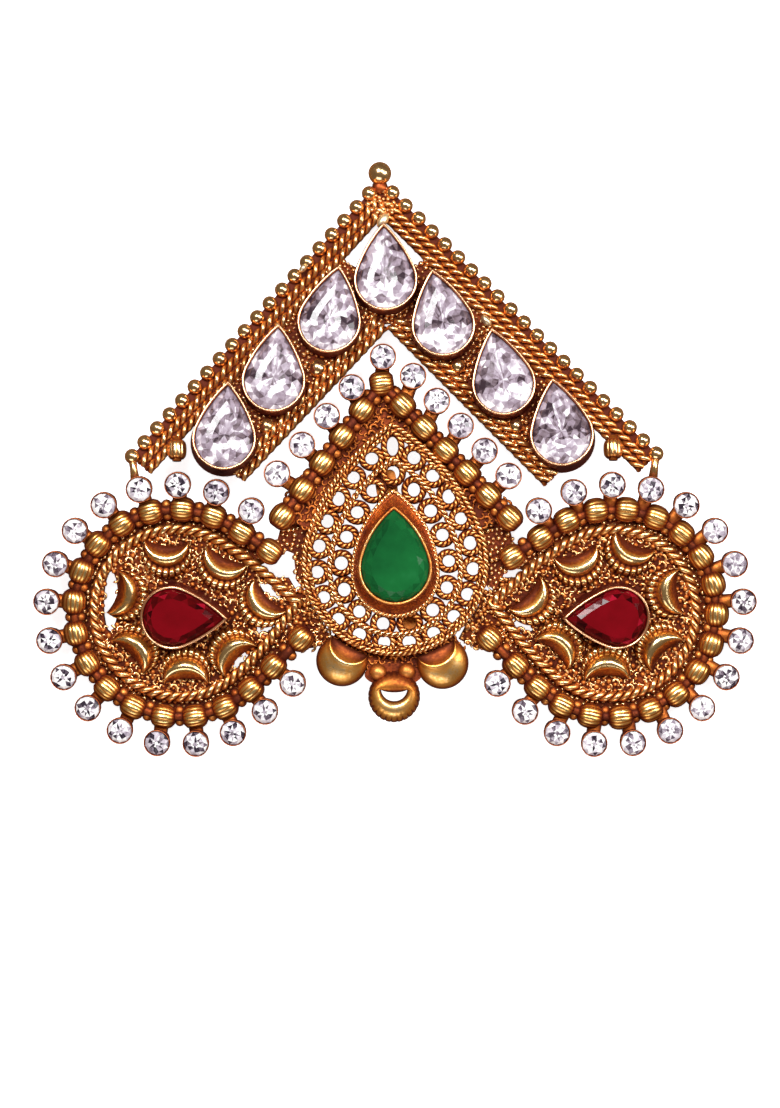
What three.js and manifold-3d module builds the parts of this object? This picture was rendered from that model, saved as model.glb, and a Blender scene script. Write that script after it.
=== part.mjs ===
// Turban brooch: a chevron crest over a pierced pear panel between two pear-shaped lobes.
// Millimetres, +Z up. The brooch lies on its back, front up, crest towards +Y, origin on the
// surface under the middle of the object. Each soldered sub-assembly is one solid.
import * as THREE from 'three';
import { mergeVertices } from 'three/addons/utils/BufferGeometryUtils.js';
import { ConvexGeometry } from 'three/addons/geometries/ConvexGeometry.js';
import Module from 'manifold-3d';

const wasm = await Module();
wasm.setup();

// ---- the whole brooch ----
const GAP = 0.3;                 // clearance between pieces
const MIDDLE_Y = 0.22;           // the outline's middle, in the sizes below
const PANEL_BACK = 6.0;          // height of the centre panel's back over the surface
const FOLD_Y = -5;               // line across the brooch where the crest begins to lean back
const CREST_LEAN = 9.17;         // degrees that the crest leans back
const LOBE_CENTRE = { x: 24.15, y: -16.9, z: 2.97 };
const LOBE_OUTWARD = 7;          // degrees that a lobe leans back towards its outer side
const LOBE_DOWNWARD = 8;         // degrees that a lobe leans back towards its lower side

// ---- small parts that repeat ----
const BALL = { radius: 0.82 };
const MELON = { radius: 1.42, band: 0.24, neck: 0.55, sides: 6 };   // the band in parts of the pitch
const CUP = { radius: 1.5, height: 2.9, crown: 0.4, sides: 6 };
// The bar between a bead and its cup. A cup that faces a bead more closely than this needs none.
const STRUT = { radius: 0.5, sides: 3, beyond: 0.75 };
const BEZEL_WALL = 0.32;
const BEZEL_FLOOR = 0.6;
const BEZEL_SIDES = [2, 4];      // steps along a long side and half-way round the round end
const TABLE_SIDES = [1, 3];
const TABLE_INSET = 0.45;        // in parts of the round end's radius
const GIRDLE_DEPTH = 0.5;        // how far a stone's widest line lies below its wall's top
const WIRE_SIDES = 8;
const TOP_SHRINK = 0.42;         // how much narrower a puffed form is at its top

// ---- crest ----
const APEX_BALL = { x: -1.7, y: 32.1, radius: 1.3, stem: 1.05, stemLength: 3.4 };
const ARMS = [
  { side: -1, top: [-2.9, 29.9], end: [-29.3, 0.3], balls: 20 },
  { side: 1, top: [-0.3, 30.0], end: [29.1, 0.6], balls: 21 },
];
// Two wires side by side as one section: across the band and up.
const OUTER_BAND = [
  [0.62, 0], [2.95, 0], [2.95, 0.75], [2.4, 1.2], [1.88, 0.8], [1.35, 1.2], [0.62, 1.1],
];
const INNER_BAND = [
  [-0.6, 0], [1.65, 0], [1.65, 0.75], [1.1, 1.2], [0.55, 0.8], [0, 1.2], [-0.6, 0.75],
];
const INNER_BANDS = [
  { side: -1, top: [-1.2, 14.9], end: [-17.1, -2.1] },
  { side: 1, top: [-0.5, 15.0], end: [16.9, -2.6] },
];
const CLEAR_PEAR = {
  width: 7.15, length: 10.1, fullness: 2.2, wall: 3.2, floor: BEZEL_FLOOR, crown: 0.75,
};
const CLEAR_SEATS = [
  { x: -18.9, y: 3.4, lean: -3.9 },
  { x: -13.4, y: 9.85, lean: -5.0 },
  { x: -7.1, y: 16.45, lean: -10.1 },
  { x: -1.1, y: 21.2, lean: 2.1 },
  { x: 5.1, y: 16.05, lean: 11.3 },
  { x: 11.8, y: 9.45, lean: 12.2 },
  { x: 18.3, y: 3.8, lean: 9.1 },
];
const GRANULES = [
  { x: -8.65, y: 10.15, radius: 1.0 },
  { x: -14.3, y: 3.7, radius: 0.85 },
  { x: 7.0, y: 10.4, radius: 0.85 },
  { x: 13.5, y: 3.7, radius: 0.85 },
  { x: -1.35, y: 26.6, radius: 0.75 },
];
const POSTS = [
  { x: -24.3, y: 1.0 },
  { x: 24.3, y: 1.1 },
];
const POST = { radius: 1.05, length: 2.6, sides: 6 };

// ---- bead row between crest and panel ----
const ROW_APEX = { x: -1.5, y: 8.4 };
const ROW_ARMS = [
  { end: [-12.55, -6.5], beads: 5 },
  { end: [12.75, -6.65], beads: 6 },
];
const ROW_CUPS = [
  { first: [-1.35, 11.1], last: [-1.35, 11.1], count: 1 },
  { first: [-4.82, 7.68], last: [-13.1, -1.95], count: 4 },
  { first: [2.0, 8.95], last: [12.6, -2.2], count: 5 },
];

// ---- centre panel ----
const PANEL = { y: -11.4, turn: 1.2, width: 20.9, length: 26.2, fullness: 1.15 };   // turn in degrees
const PLATE = { from: 0, thick: 0.95, inset: 0.15 };
const BORDER_WIRE = { from: 0, wide: 0.62, top: 1.25, steps: [4, 6] };
const MID_WIRE = {
  width: 15.1, length: 20.1, fullness: 1.1, below: 8.25,
  from: 0.5, wide: 0.5, top: 1.2, steps: [5, 5],
};
const COLLAR = {
  width: 9.9, length: 14.4, fullness: 1.2, below: 6.15,
  from: 0.5, wide: 0.5, top: 1.7, steps: [4, 4],
};
const ROUTE_STEPS = [12, 12];    // steps of the line that a band of rings follows
const RING_BANDS = [
  { width: 17.4, length: 22.3, fullness: 1.1, below: 8.95, rings: 21, gapFoot: 0.86, gapTip: 0.28 },
  { width: 12.1, length: 16.95, fullness: 1.15, below: 6.95, rings: 15, gapFoot: 0.95, gapTip: 0.3 },
];
const RING_HOLE = { radius: 0.7, sides: 5 };
const RING_GAP_HALF = 0.42;      // half the width of the small gap between two rings
const PANEL_FLOOR = PLATE.from + PLATE.thick;
const GREEN_PEAR = {
  width: 8.2, length: 11.0, fullness: 1.3, wall: 3.9, floor: PANEL_FLOOR, below: 4.7, crown: 1.1,
};
const ROW_SEAT_SIDES = 12;

// ---- drops under the panel ----
const DROP = { back: 5.3, radius: 2.9, height: 2.3, horn: 38, hollow: 0.3, middle: 0.9 };
const DROPS = [
  { x: -5.9, y: -22.3 },
  { x: 5.3, y: -22.6 },
];
const BOTTOM_MOON = { x: -0.1, y: -26.3, radius: 2.9, height: 2.3, middle: 0.6, sides: 10 };
// The smile cut through that moon, about its middle: across and up.
const SMILE = [[-1.46, 0.9], [-1.0, -0.1], [0, -0.6], [1.0, -0.1], [1.46, 0.9], [0, 0.55]];
const DROP_BALLS = [
  { x: -1.9, y: -23.6 },
  { x: 1.3, y: -23.5 },
];
const DROP_BALL_RADIUS = 0.98;
const DROP_BRIDGE = { x: -0.2, y: -24.0, wide: 7.4, deep: 2.7, thick: 0.5 };

// ---- lobes ----
const LOBE_BORDER = { radius: 9.95, reach: 13.6, wire: 1.25, thick: 1.25, point: 6, steps: 18 };
const LOBE_BACKING = 0.8;        // thickness of the plate behind the crescents
const CRESCENT = { radius: 2.7, height: 2.1, horn: 30, hollow: 0.5, middle: 0.8 };
const CRESCENT_SIDES = { outer: 6, inner: 2 };
const RED_PEAR = {
  width: 7.15, length: 9.9, fullness: 2.2, wall: 3.4, floor: LOBE_BACKING, crown: 1.0,
  x: -0.35, y: -0.2,
};
const SPOKES = { first: 54.2, step: 17.27, count: 17, cupRadius: 14.65, beadRadius: 11.8 };
const BEAD_POINT = 50;           // half angle over which the bead ring runs straight to the point
const GAP_SIDES = 6;
// Angles in a lobe are measured from the way it points. A crescent opens between its horns.
const LOBES = [
  {
    name: 'left', side: -1, beads: { first: 34.5, last: 349.5, count: 19 },
    crescents: [
      { angle: 8, radius: 9.7, opens: 45 },
      { angle: 47, radius: 7.5, opens: 66 },
      { angle: 100, radius: 6.9, opens: 88 },
      { angle: 162, radius: 6.3, opens: 164 },
      { angle: 221, radius: 6.3, opens: 224 },
      { angle: 278, radius: 6.6, opens: 272 },
      { angle: 325.5, radius: 7.6, opens: 315 },
    ],
    gaps: [
      { angle: 172, radius: 7.75, long: 6.9, wide: 1.6, turn: 88 },
      { angle: 14, radius: 10.5, long: 3.0, wide: 1.2, turn: -40 },
      { angle: -9, radius: 10.3, long: 3.4, wide: 1.4, turn: 22 },
      { angle: -38, radius: 8.8, long: 2.8, wide: 1.0, turn: 49 },
    ],
  },
  {
    name: 'right', side: 1, beads: { first: 30, last: 349.5, count: 20 },
    crescents: [
      { angle: 10, radius: 9.2, opens: 45 },
      { angle: 56, radius: 7.0, opens: 74 },
      { angle: 105, radius: 7.25, opens: 117 },
      { angle: 161, radius: 6.8, opens: 173 },
      { angle: 216, radius: 6.6, opens: 228 },
      { angle: 276, radius: 6.2, opens: 270 },
      { angle: 330, radius: 7.0, opens: 312 },
    ],
    gaps: [{ angle: -7, radius: 10.2, long: 2.7, wide: 1.2, turn: 28 }],
  },
];

// ---- pin on the back ----
const PIN = {
  topX: -1.0, topY: -2.6, endX: 1.4, endY: -17.8, stem: 0.45, height: 1.3,
  foot: [3.0, 2.4, 0.5], post: 1.3, hook: [1.3, 2.1, 0.6], hookDrop: 0.6,
};

const radians = THREE.MathUtils.degToRad;
const vector = (x, y) => new THREE.Vector2(x, y);
const GOLDEN = (1 + Math.sqrt(5)) / 2;

const GOLD = { color: 0xb9802f, roughness: 0.36, metalness: 1.0 };
const CLEAR = { color: 0xe9e2f0, roughness: 0.05, metalness: 0.0 };
const GREEN = { color: 0x0f6a36, roughness: 0.14, metalness: 0.0 };
const RED = { color: 0x8a0f1c, roughness: 0.1, metalness: 0.0 };

// ---- solids ----

// A closed geometry as a solid: its seams are merged and triangles with no area are dropped.
function solidOf(geometry) {
  const bare = geometry.clone();
  bare.deleteAttribute('normal');
  bare.deleteAttribute('uv');
  const merged = mergeVertices(bare, 1e-4);
  const index = merged.index.array;
  const triangles = [];
  for (let i = 0; i < index.length; i += 3) {
    const [a, b, c] = [index[i], index[i + 1], index[i + 2]];
    if (a !== b && b !== c && c !== a) triangles.push(a, b, c);
  }
  return new wasm.Manifold(new wasm.Mesh({
    numProp: 3,
    vertProperties: merged.attributes.position.array,
    triVerts: new Uint32Array(triangles),
  }));
}

// Forms are geometries, or solids that have been cut already.
function join(forms) {
  const solids = forms.map((form) => (form.isBufferGeometry ? solidOf(form) : form));
  return solids.reduce((whole, next) => whole.add(next));
}

function piece(name, solid, finish) {
  const { vertProperties, triVerts } = solid.getMesh();
  const geometry = new THREE.BufferGeometry();
  geometry.setAttribute('position', new THREE.BufferAttribute(vertProperties, 3));
  geometry.setIndex(new THREE.BufferAttribute(triVerts, 1));
  geometry.computeVertexNormals();
  const material = new THREE.MeshStandardMaterial({ ...finish, flatShading: true });
  const mesh = new THREE.Mesh(geometry, material);
  mesh.name = name;
  return mesh;
}

// ---- pear outlines ----

// A pear with its round end about the origin and its point towards +Y. One arc goes round the
// round end, and two long arcs leave it smoothly and meet in the point.
function pear({ width, length, fullness }) {
  const round = width / 2;
  return { round, reach: length - round, side: fullness * width };
}

function inset({ round, reach, side }, by) {
  const shift = side - round;
  const rise = shift * Math.sin(leaving({ round, reach, side }));
  const newReach = Math.sqrt(rise ** 2 + (side - by) ** 2 - shift ** 2) - rise;
  return { round: round - by, reach: newReach, side: side - by };
}

// The angle on the round end at which the long arcs leave it.
function leaving({ round, reach, side }) {
  const over = 2 * side * round - round ** 2 - reach ** 2;
  return Math.asin(over / (2 * reach * (side - round)));
}

function pearOutline(form, sideSteps, roundSteps) {
  const { round, reach, side } = form;
  const leave = leaving(form);
  const centre = vector(-(side - round) * Math.cos(leave), -(side - round) * Math.sin(leave));
  const point = Math.atan2(reach - centre.y, -centre.x);
  const right = [];
  for (let i = 1; i <= sideSteps; i += 1) {
    const angle = THREE.MathUtils.lerp(point, leave, i / sideSteps);
    right.push(vector(centre.x + side * Math.cos(angle), centre.y + side * Math.sin(angle)));
  }
  for (let i = 1; i < roundSteps; i += 1) {
    const angle = THREE.MathUtils.lerp(leave, -Math.PI / 2, i / roundSteps);
    right.push(vector(round * Math.cos(angle), round * Math.sin(angle)));
  }
  const left = right.map(({ x, y }) => vector(-x, y));
  return [vector(0, reach), ...left, vector(0, -round), ...right.reverse()];
}

// A flat plate with holes cut through. Outline and holes both run counter-clockwise.
function plate(outline, from, thick, holes = []) {
  const shape = new THREE.Shape(outline);
  for (const hole of holes) shape.holes.push(new THREE.Path(hole));
  return new THREE.ExtrudeGeometry(shape, { depth: thick, bevelEnabled: false })
    .translate(0, 0, from);
}

function pearBand(form, { from, wide, top, steps }) {
  const hole = pearOutline(inset(form, wide), ...steps);
  return plate(pearOutline(form, ...steps), from, top - from, [hole]);
}

// ---- small metal forms ----

// A ball that lies on the plane, with one of its corners in the given direction.
function ball(at, radius, direction) {
  return new THREE.IcosahedronGeometry(radius, 0)
    .rotateY(Math.atan(1 / GOLDEN))
    .rotateZ(direction)
    .translate(at.x, at.y, radius);
}

// A row of fluted beads with few sides, threaded through the given places: one turned form,
// bent along the row.
function beadString(places) {
  const last = places.length - 1;
  const profile = [vector(0, -0.5), vector(MELON.neck, -0.5)];
  for (let i = 0; i <= last; i += 1) {
    profile.push(vector(MELON.radius, i - MELON.band));
    profile.push(vector(MELON.radius, i + MELON.band));
    profile.push(vector(MELON.neck, i + 0.5));
  }
  profile.push(vector(0, last + 0.5));
  const row = new THREE.LatheGeometry(profile, MELON.sides, Math.PI / MELON.sides);
  const thread = new THREE.SplineCurve(places);
  const pitch = thread.getLength() / last;
  const flat = MELON.radius * Math.cos(Math.PI / MELON.sides);
  const position = row.attributes.position;
  for (let i = 0; i < position.count; i += 1) {
    const bead = position.getY(i);
    const turn = THREE.MathUtils.clamp(bead / last, 0, 1);
    const along = thread.getTangent(turn);
    const at = thread.getPoint(turn)
      .addScaledVector(along, (bead - turn * last) * pitch)
      .addScaledVector(vector(along.y, -along.x), position.getX(i));
    position.setXYZ(i, at.x, at.y, flat + position.getZ(i));
  }
  return row;
}

// A straight round wire between two points of the plane, at a height.
function wire(from, to, z, radius, sides) {
  const along = to.clone().sub(from);
  return new THREE.CylinderGeometry(radius, radius, along.length(), sides)
    .rotateZ(along.angle() - Math.PI / 2)
    .translate((from.x + to.x) / 2, (from.y + to.y) / 2, z);
}

// A straight band of the given section, which is measured sideways from the line and up.
function band(section, from, to, sideways) {
  const run = new THREE.Vector3(sideways.y, -sideways.x, 0);
  const forward = to.clone().sub(from).dot(run) > 0;
  const start = forward ? from : to;
  const shape = new THREE.Shape(section.map(([across, up]) => vector(across, up)));
  const across = new THREE.Vector3(sideways.x, sideways.y, 0);
  const up = new THREE.Vector3(0, 0, 1);
  return new THREE.ExtrudeGeometry(shape, { depth: from.distanceTo(to), bevelEnabled: false })
    .applyMatrix4(new THREE.Matrix4().makeBasis(across, up, run))
    .translate(start.x, start.y, 0);
}

// A round stone cup with its small stone, as one turned form with a corner towards its bead.
function cup(at, bead) {
  const profile = [
    vector(0, 0),
    vector(CUP.radius, 0),
    vector(CUP.radius, CUP.height),
    vector(0, CUP.height + CUP.crown),
  ];
  return new THREE.LatheGeometry(profile, CUP.sides)
    .rotateX(Math.PI / 2)
    .rotateZ(bead.clone().sub(at).angle() + Math.PI / 2)
    .translate(at.x, at.y, 0);
}

// The wall that holds a pear stone.
function bezelWall(size, from) {
  return pearBand(pear(size), { from, wide: BEZEL_WALL, top: size.wall, steps: BEZEL_SIDES });
}

// A faceted pear stone that sits in that box.
function pearStone(size) {
  const girdle = inset(pear(size), BEZEL_WALL + GAP);
  const table = inset(girdle, girdle.round * TABLE_INSET);
  const girdleZ = size.wall - GIRDLE_DEPTH;
  const points = [new THREE.Vector3(0, 0, size.floor + GAP)];
  for (const { x, y } of pearOutline(girdle, ...BEZEL_SIDES)) {
    points.push(new THREE.Vector3(x, y, girdleZ));
  }
  for (const { x, y } of pearOutline(table, ...TABLE_SIDES)) {
    points.push(new THREE.Vector3(x, y, girdleZ + size.crown));
  }
  return new ConvexGeometry(points);
}

// A moon with its horns up: a round outer side, and an inner side hollowed down between the
// horns.
function crescentOutline({ radius, horn, hollow }) {
  const hornX = radius * Math.cos(radians(horn));
  const hornY = radius * Math.sin(radians(horn));
  const inner = (hornX ** 2 + hollow ** 2) / (2 * hollow);
  const reach = Math.asin(hornX / inner);
  const outline = [];
  for (let i = 0; i <= CRESCENT_SIDES.outer; i += 1) {
    const angle = radians(THREE.MathUtils.lerp(180 - horn, 360 + horn, i / CRESCENT_SIDES.outer));
    outline.push(vector(radius * Math.cos(angle), radius * Math.sin(angle)));
  }
  for (let i = 1; i < CRESCENT_SIDES.inner; i += 1) {
    const angle = THREE.MathUtils.lerp(reach, -reach, i / CRESCENT_SIDES.inner);
    outline.push(vector(inner * Math.sin(angle), hornY - hollow + inner - inner * Math.cos(angle)));
  }
  return outline;
}

// A puffed form: straight at the foot, drawn in towards its middle at the top.
function puffed(outline, size) {
  const form = new THREE.ExtrudeGeometry(new THREE.Shape(outline), {
    depth: size.height, steps: 2, bevelEnabled: false,
  });
  const position = form.attributes.position;
  for (let i = 0; i < position.count; i += 1) {
    const shrink = 1 - TOP_SHRINK * (position.getZ(i) / size.height) ** 2;
    position.setX(i, position.getX(i) * shrink);
    position.setY(i, (position.getY(i) + size.middle) * shrink - size.middle);
  }
  return form;
}

function crescent(size) {
  return puffed(crescentOutline(size), size);
}

// A round moon with a smile cut through it.
function piercedMoon(size) {
  const rim = Array.from({ length: size.sides }, (_, k) => {
    const angle = 2 * Math.PI * k / size.sides;
    return vector(size.radius * Math.cos(angle), size.radius * Math.sin(angle));
  });
  const smile = SMILE.map(([x, y]) => vector(x, y));
  const cut = plate(smile, -GAP, size.height + 2 * GAP);
  return solidOf(puffed(rim, size)).subtract(solidOf(cut)).translate(size.x, size.y, 0);
}

// ---- crest ----

const crestScale = 1 / Math.cos(radians(CREST_LEAN));
const onCrest = ([x, y]) => vector(x, (y - FOLD_Y) * crestScale);
const crest = new THREE.Group();
crest.position.set(0, FOLD_Y, PANEL_BACK);
crest.rotation.x = -radians(CREST_LEAN);
crest.updateMatrix();

function crestArm({ side, top, end, balls }) {
  const from = onCrest(top);
  const to = onCrest(end);
  const along = to.clone().sub(from).normalize();
  const inward = vector(side * along.y, -side * along.x);
  const forms = [];
  for (let i = 0; i < balls; i += 1) {
    const at = from.clone().lerp(to, i / (balls - 1));
    forms.push(ball(at, BALL.radius, inward.angle()));
  }
  forms.push(band(OUTER_BAND, from, to, inward));
  return forms;
}

function innerBand({ side, top, end }) {
  const from = onCrest(top);
  const to = onCrest(end);
  const along = to.clone().sub(from).normalize();
  return band(INNER_BAND, from, to, vector(-side * along.y, side * along.x));
}

// A seat is named at the middle of its length, the pear form at its round end.
function seated(geometry, { x, y, lean }) {
  const at = onCrest([x, y]);
  return geometry
    .translate(0, -(CLEAR_PEAR.length - CLEAR_PEAR.width) / 2, 0)
    .rotateZ(radians(lean))
    .translate(at.x, at.y, 0);
}

function crestFrame() {
  const apex = onCrest([APEX_BALL.x, APEX_BALL.y]);
  const stemFoot = vector(apex.x, apex.y - APEX_BALL.stemLength);
  const forms = [
    ...ARMS.flatMap(crestArm),
    ...INNER_BANDS.map(innerBand),
    new THREE.IcosahedronGeometry(APEX_BALL.radius, 1).translate(apex.x, apex.y, APEX_BALL.radius),
    wire(apex, stemFoot, APEX_BALL.stem, APEX_BALL.stem, WIRE_SIDES),
  ];
  const { wall, floor } = CLEAR_PEAR;
  const outside = pear(CLEAR_PEAR);
  for (const seat of CLEAR_SEATS) {
    const block = plate(pearOutline(outside, ...BEZEL_SIDES), 0, wall);
    const hollow = plate(pearOutline(inset(outside, BEZEL_WALL), ...BEZEL_SIDES), floor, wall);
    forms.push(solidOf(seated(block, seat)).subtract(solidOf(seated(hollow, seat))));
  }
  for (const { x, y, radius } of GRANULES) {
    forms.push(ball(onCrest([x, y]), radius, 0));
  }
  for (const { x, y } of POSTS) {
    const half = POST.length / 2;
    const [foot, head] = [onCrest([x, y - half]), onCrest([x, y + half])];
    forms.push(wire(foot, head, POST.radius, POST.radius, POST.sides));
  }
  return piece('crest_frame', join(forms), GOLD);
}

crest.add(crestFrame());
CLEAR_SEATS.forEach((seat, i) => {
  const stone = seated(pearStone(CLEAR_PEAR), seat);
  crest.add(piece(`clear_stone_${i + 1}`, solidOf(stone), CLEAR));
});

// ---- bead row ----

function nearest(places, to) {
  const distance = (place) => place.distanceTo(to);
  return places.reduce((best, place) => (distance(place) < distance(best) ? place : best));
}

function beadRow() {
  const apex = onCrest([ROW_APEX.x, ROW_APEX.y]);
  const forms = [];
  const places = [];
  for (const { end, beads } of ROW_ARMS) {
    const row = Array.from({ length: beads + 1 }, (_, i) => apex.clone().lerp(onCrest(end), i / beads));
    forms.push(beadString(row));
    places.push(...row);
  }
  for (const { first, last, count } of ROW_CUPS) {
    for (let i = 0; i < count; i += 1) {
      const at = onCrest(first).lerp(onCrest(last), count > 1 ? i / (count - 1) : 0);
      const bead = nearest(places, at);
      forms.push(cup(at, bead));
      forms.push(wire(bead, at, MELON.radius, STRUT.radius, STRUT.sides));
    }
  }
  return piece('centre_bead_row', join(forms), GOLD);
}

crest.add(beadRow());

// ---- centre panel ----

const panel = new THREE.Group();
panel.position.set(0, PANEL.y, PANEL_BACK);
panel.rotation.z = radians(PANEL.turn);
panel.updateMatrix();

// The pear of a wire or a band of rings, set so that its bottom lies the given way below.
function nested(geometry, size) {
  return geometry.translate(0, size.width / 2 - size.below, 0);
}

// The holes of a band of rings: one through each ring, and a small three-sided one outside
// each place where two rings meet.
function bandHoles(size) {
  const outline = pearOutline(pear(size), ...ROUTE_STEPS);
  const route = new THREE.Path([...outline, outline[0]]);
  const lift = size.width / 2 - size.below;
  const onRoute = (turn, outward, along) => {
    const tangent = route.getTangentAt(turn % 1);
    const at = route.getPointAt(turn % 1);
    at.addScaledVector(tangent, along).addScaledVector(vector(tangent.y, -tangent.x), outward);
    return at.setY(at.y + lift);
  };
  const holes = [];
  for (let i = 0; i < size.rings; i += 1) {
    const ring = i / size.rings;
    const corners = Array.from({ length: RING_HOLE.sides }, (_, k) => 2 * Math.PI * k / RING_HOLE.sides);
    const { radius } = RING_HOLE;
    holes.push(corners.map((a) => onRoute(ring, -radius * Math.sin(a), radius * Math.cos(a))));
    const meet = (i + 0.5) / size.rings;
    holes.push([
      onRoute(meet, size.gapTip, 0),
      onRoute(meet, size.gapFoot, -RING_GAP_HALF),
      onRoute(meet, size.gapFoot, RING_GAP_HALF),
    ]);
  }
  return holes;
}

// The room that one arm of the bead row takes, with its clearance.
function rowSeat({ end }) {
  const apex = onCrest([ROW_APEX.x, ROW_APEX.y]);
  const foot = onCrest(end);
  const past = foot.clone().sub(apex).setLength(MELON.radius + GAP).add(foot);
  const height = MELON.radius * Math.cos(Math.PI / MELON.sides);
  const radius = (MELON.radius + GAP) / Math.cos(Math.PI / ROW_SEAT_SIDES);
  return wire(apex, past, height, radius, ROW_SEAT_SIDES)
    .applyMatrix4(crest.matrix)
    .applyMatrix4(panel.matrix.clone().invert());
}

function centrePanel() {
  const border = pear(PANEL);
  const ground = pearOutline(inset(border, PLATE.inset), ...BORDER_WIRE.steps);
  const whole = join([
    plate(ground, PLATE.from, PLATE.thick, RING_BANDS.flatMap(bandHoles)),
    pearBand(border, BORDER_WIRE),
    nested(pearBand(pear(MID_WIRE), MID_WIRE), MID_WIRE),
    nested(pearBand(pear(COLLAR), COLLAR), COLLAR),
    nested(bezelWall(GREEN_PEAR, PANEL_FLOOR / 2), GREEN_PEAR),
  ]);
  return piece('centre_panel', whole.subtract(join(ROW_ARMS.map(rowSeat))), GOLD);
}

panel.add(centrePanel());
panel.add(piece('green_stone', solidOf(nested(pearStone(GREEN_PEAR), GREEN_PEAR)), GREEN));

// ---- drops under the panel ----

// The two domes turn their open side towards the panel's middle.
function dropCluster() {
  const forms = [];
  for (const { x, y } of DROPS) {
    const lean = Math.atan2(x, PANEL.y - y);
    forms.push(crescent(DROP).rotateZ(lean).translate(x, y, 0));
  }
  forms.push(piercedMoon(BOTTOM_MOON));
  const { wide, deep, thick } = DROP_BRIDGE;
  const bridge = new THREE.BoxGeometry(wide, deep, thick);
  forms.push(bridge.translate(DROP_BRIDGE.x, DROP_BRIDGE.y, thick / 2));
  for (const at of DROP_BALLS) forms.push(ball(at, DROP_BALL_RADIUS, 0));
  return piece('drop_cluster', join(forms), GOLD);
}

const drops = new THREE.Group();
drops.position.set(0, 0, DROP.back);
drops.add(dropCluster());

// ---- lobes ----

// How far a ring of the given radius lies from the lobe's middle: a circle that runs out
// straight to a point.
function ringReach(angle, radius, halfPoint) {
  const turned = THREE.MathUtils.euclideanModulo(angle - LOBE_BORDER.point + 180, 360) - 180;
  const away = Math.abs(turned);
  if (away >= halfPoint) return radius;
  return radius / Math.cos(radians(halfPoint - away));
}

// A place in a lobe. Its angle is measured from the way the lobe points, which is +X on the
// left lobe and -X on the right one.
function inLobe(angle, radius, toward) {
  const x = toward * radius * Math.cos(radians(angle));
  return vector(x, radius * Math.sin(radians(angle)));
}

function lobeOutline(by, toward) {
  const { radius, reach, point, steps } = LOBE_BORDER;
  const half = THREE.MathUtils.radToDeg(Math.acos(radius / reach));
  const outline = [inLobe(point, (radius - by) * reach / radius, toward)];
  for (let i = 0; i <= steps; i += 1) {
    const angle = point + half + (i / steps) * (360 - 2 * half);
    outline.push(inLobe(angle, radius - by, toward));
  }
  return toward > 0 ? outline : outline.reverse();
}

// A long gap in the backing. Its turn is measured as the angles are.
function gapOutline({ angle, radius, long, wide, turn }, toward) {
  const at = inLobe(angle, radius, toward);
  const lean = inLobe(turn, 1, toward).angle();
  const corners = Array.from({ length: GAP_SIDES }, (_, k) => 2 * Math.PI * k / GAP_SIDES);
  return corners.map((corner) => vector(long / 2 * Math.cos(corner), wide / 2 * Math.sin(corner))
    .rotateAround(vector(0, 0), lean)
    .add(at));
}

function inRedSeat(form, toward) {
  return form
    .rotateZ(-toward * Math.PI / 2)
    .translate(toward * RED_PEAR.x, RED_PEAR.y, 0);
}

function lobeFrame(name, toward, crescents, gaps) {
  const { wire: wide, thick } = LOBE_BORDER;
  let ground = solidOf(plate(lobeOutline(wide / 2, toward), 0, LOBE_BACKING));
  for (const gap of gaps) {
    ground = ground.subtract(solidOf(plate(gapOutline(gap, toward), -GAP, LOBE_BACKING + 2 * GAP)));
  }
  const forms = [
    plate(lobeOutline(0, toward), 0, thick, [lobeOutline(wide, toward)]),
    ground,
    inRedSeat(bezelWall(RED_PEAR, LOBE_BACKING / 2), toward),
  ];
  for (const { angle, radius, opens } of crescents) {
    const at = inLobe(angle, radius, toward);
    const turn = inLobe(opens, 1, toward).angle() - Math.PI / 2;
    forms.push(crescent(CRESCENT).rotateZ(turn).translate(at.x, at.y, LOBE_BACKING / 2));
  }
  return piece(`${name}_lobe`, join(forms), GOLD);
}

function beadRing(name, toward, beads) {
  const seats = [];
  for (let i = 0; i < beads.count; i += 1) {
    const angle = THREE.MathUtils.lerp(beads.first, beads.last, i / (beads.count - 1));
    seats.push(inLobe(angle, ringReach(angle, SPOKES.beadRadius, BEAD_POINT), toward));
  }
  const forms = [beadString(seats)];
  for (let i = 0; i < SPOKES.count; i += 1) {
    const angle = SPOKES.first + i * SPOKES.step;
    const at = inLobe(angle, ringReach(angle, SPOKES.cupRadius, BEAD_POINT), toward);
    const inward = inLobe(angle, ringReach(angle, SPOKES.beadRadius, BEAD_POINT), toward);
    forms.push(cup(at, inward));
    if (nearest(seats, inward).distanceTo(inward) > STRUT.beyond) {
      forms.push(wire(inward, at, MELON.radius, STRUT.radius, STRUT.sides));
    }
  }
  return piece(`${name}_bead_ring`, join(forms), GOLD);
}

function lobe({ name, side, beads, crescents, gaps }) {
  const group = new THREE.Group();
  group.position.set(side * LOBE_CENTRE.x, LOBE_CENTRE.y, LOBE_CENTRE.z);
  group.rotation.x = radians(LOBE_DOWNWARD);
  group.rotation.y = side * radians(LOBE_OUTWARD);
  group.add(lobeFrame(name, -side, crescents, gaps));
  const stone = inRedSeat(pearStone(RED_PEAR), -side);
  group.add(piece(`red_stone_${name}`, solidOf(stone), RED));
  group.add(beadRing(name, -side, beads));
  return group;
}

// ---- pin ----

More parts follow.
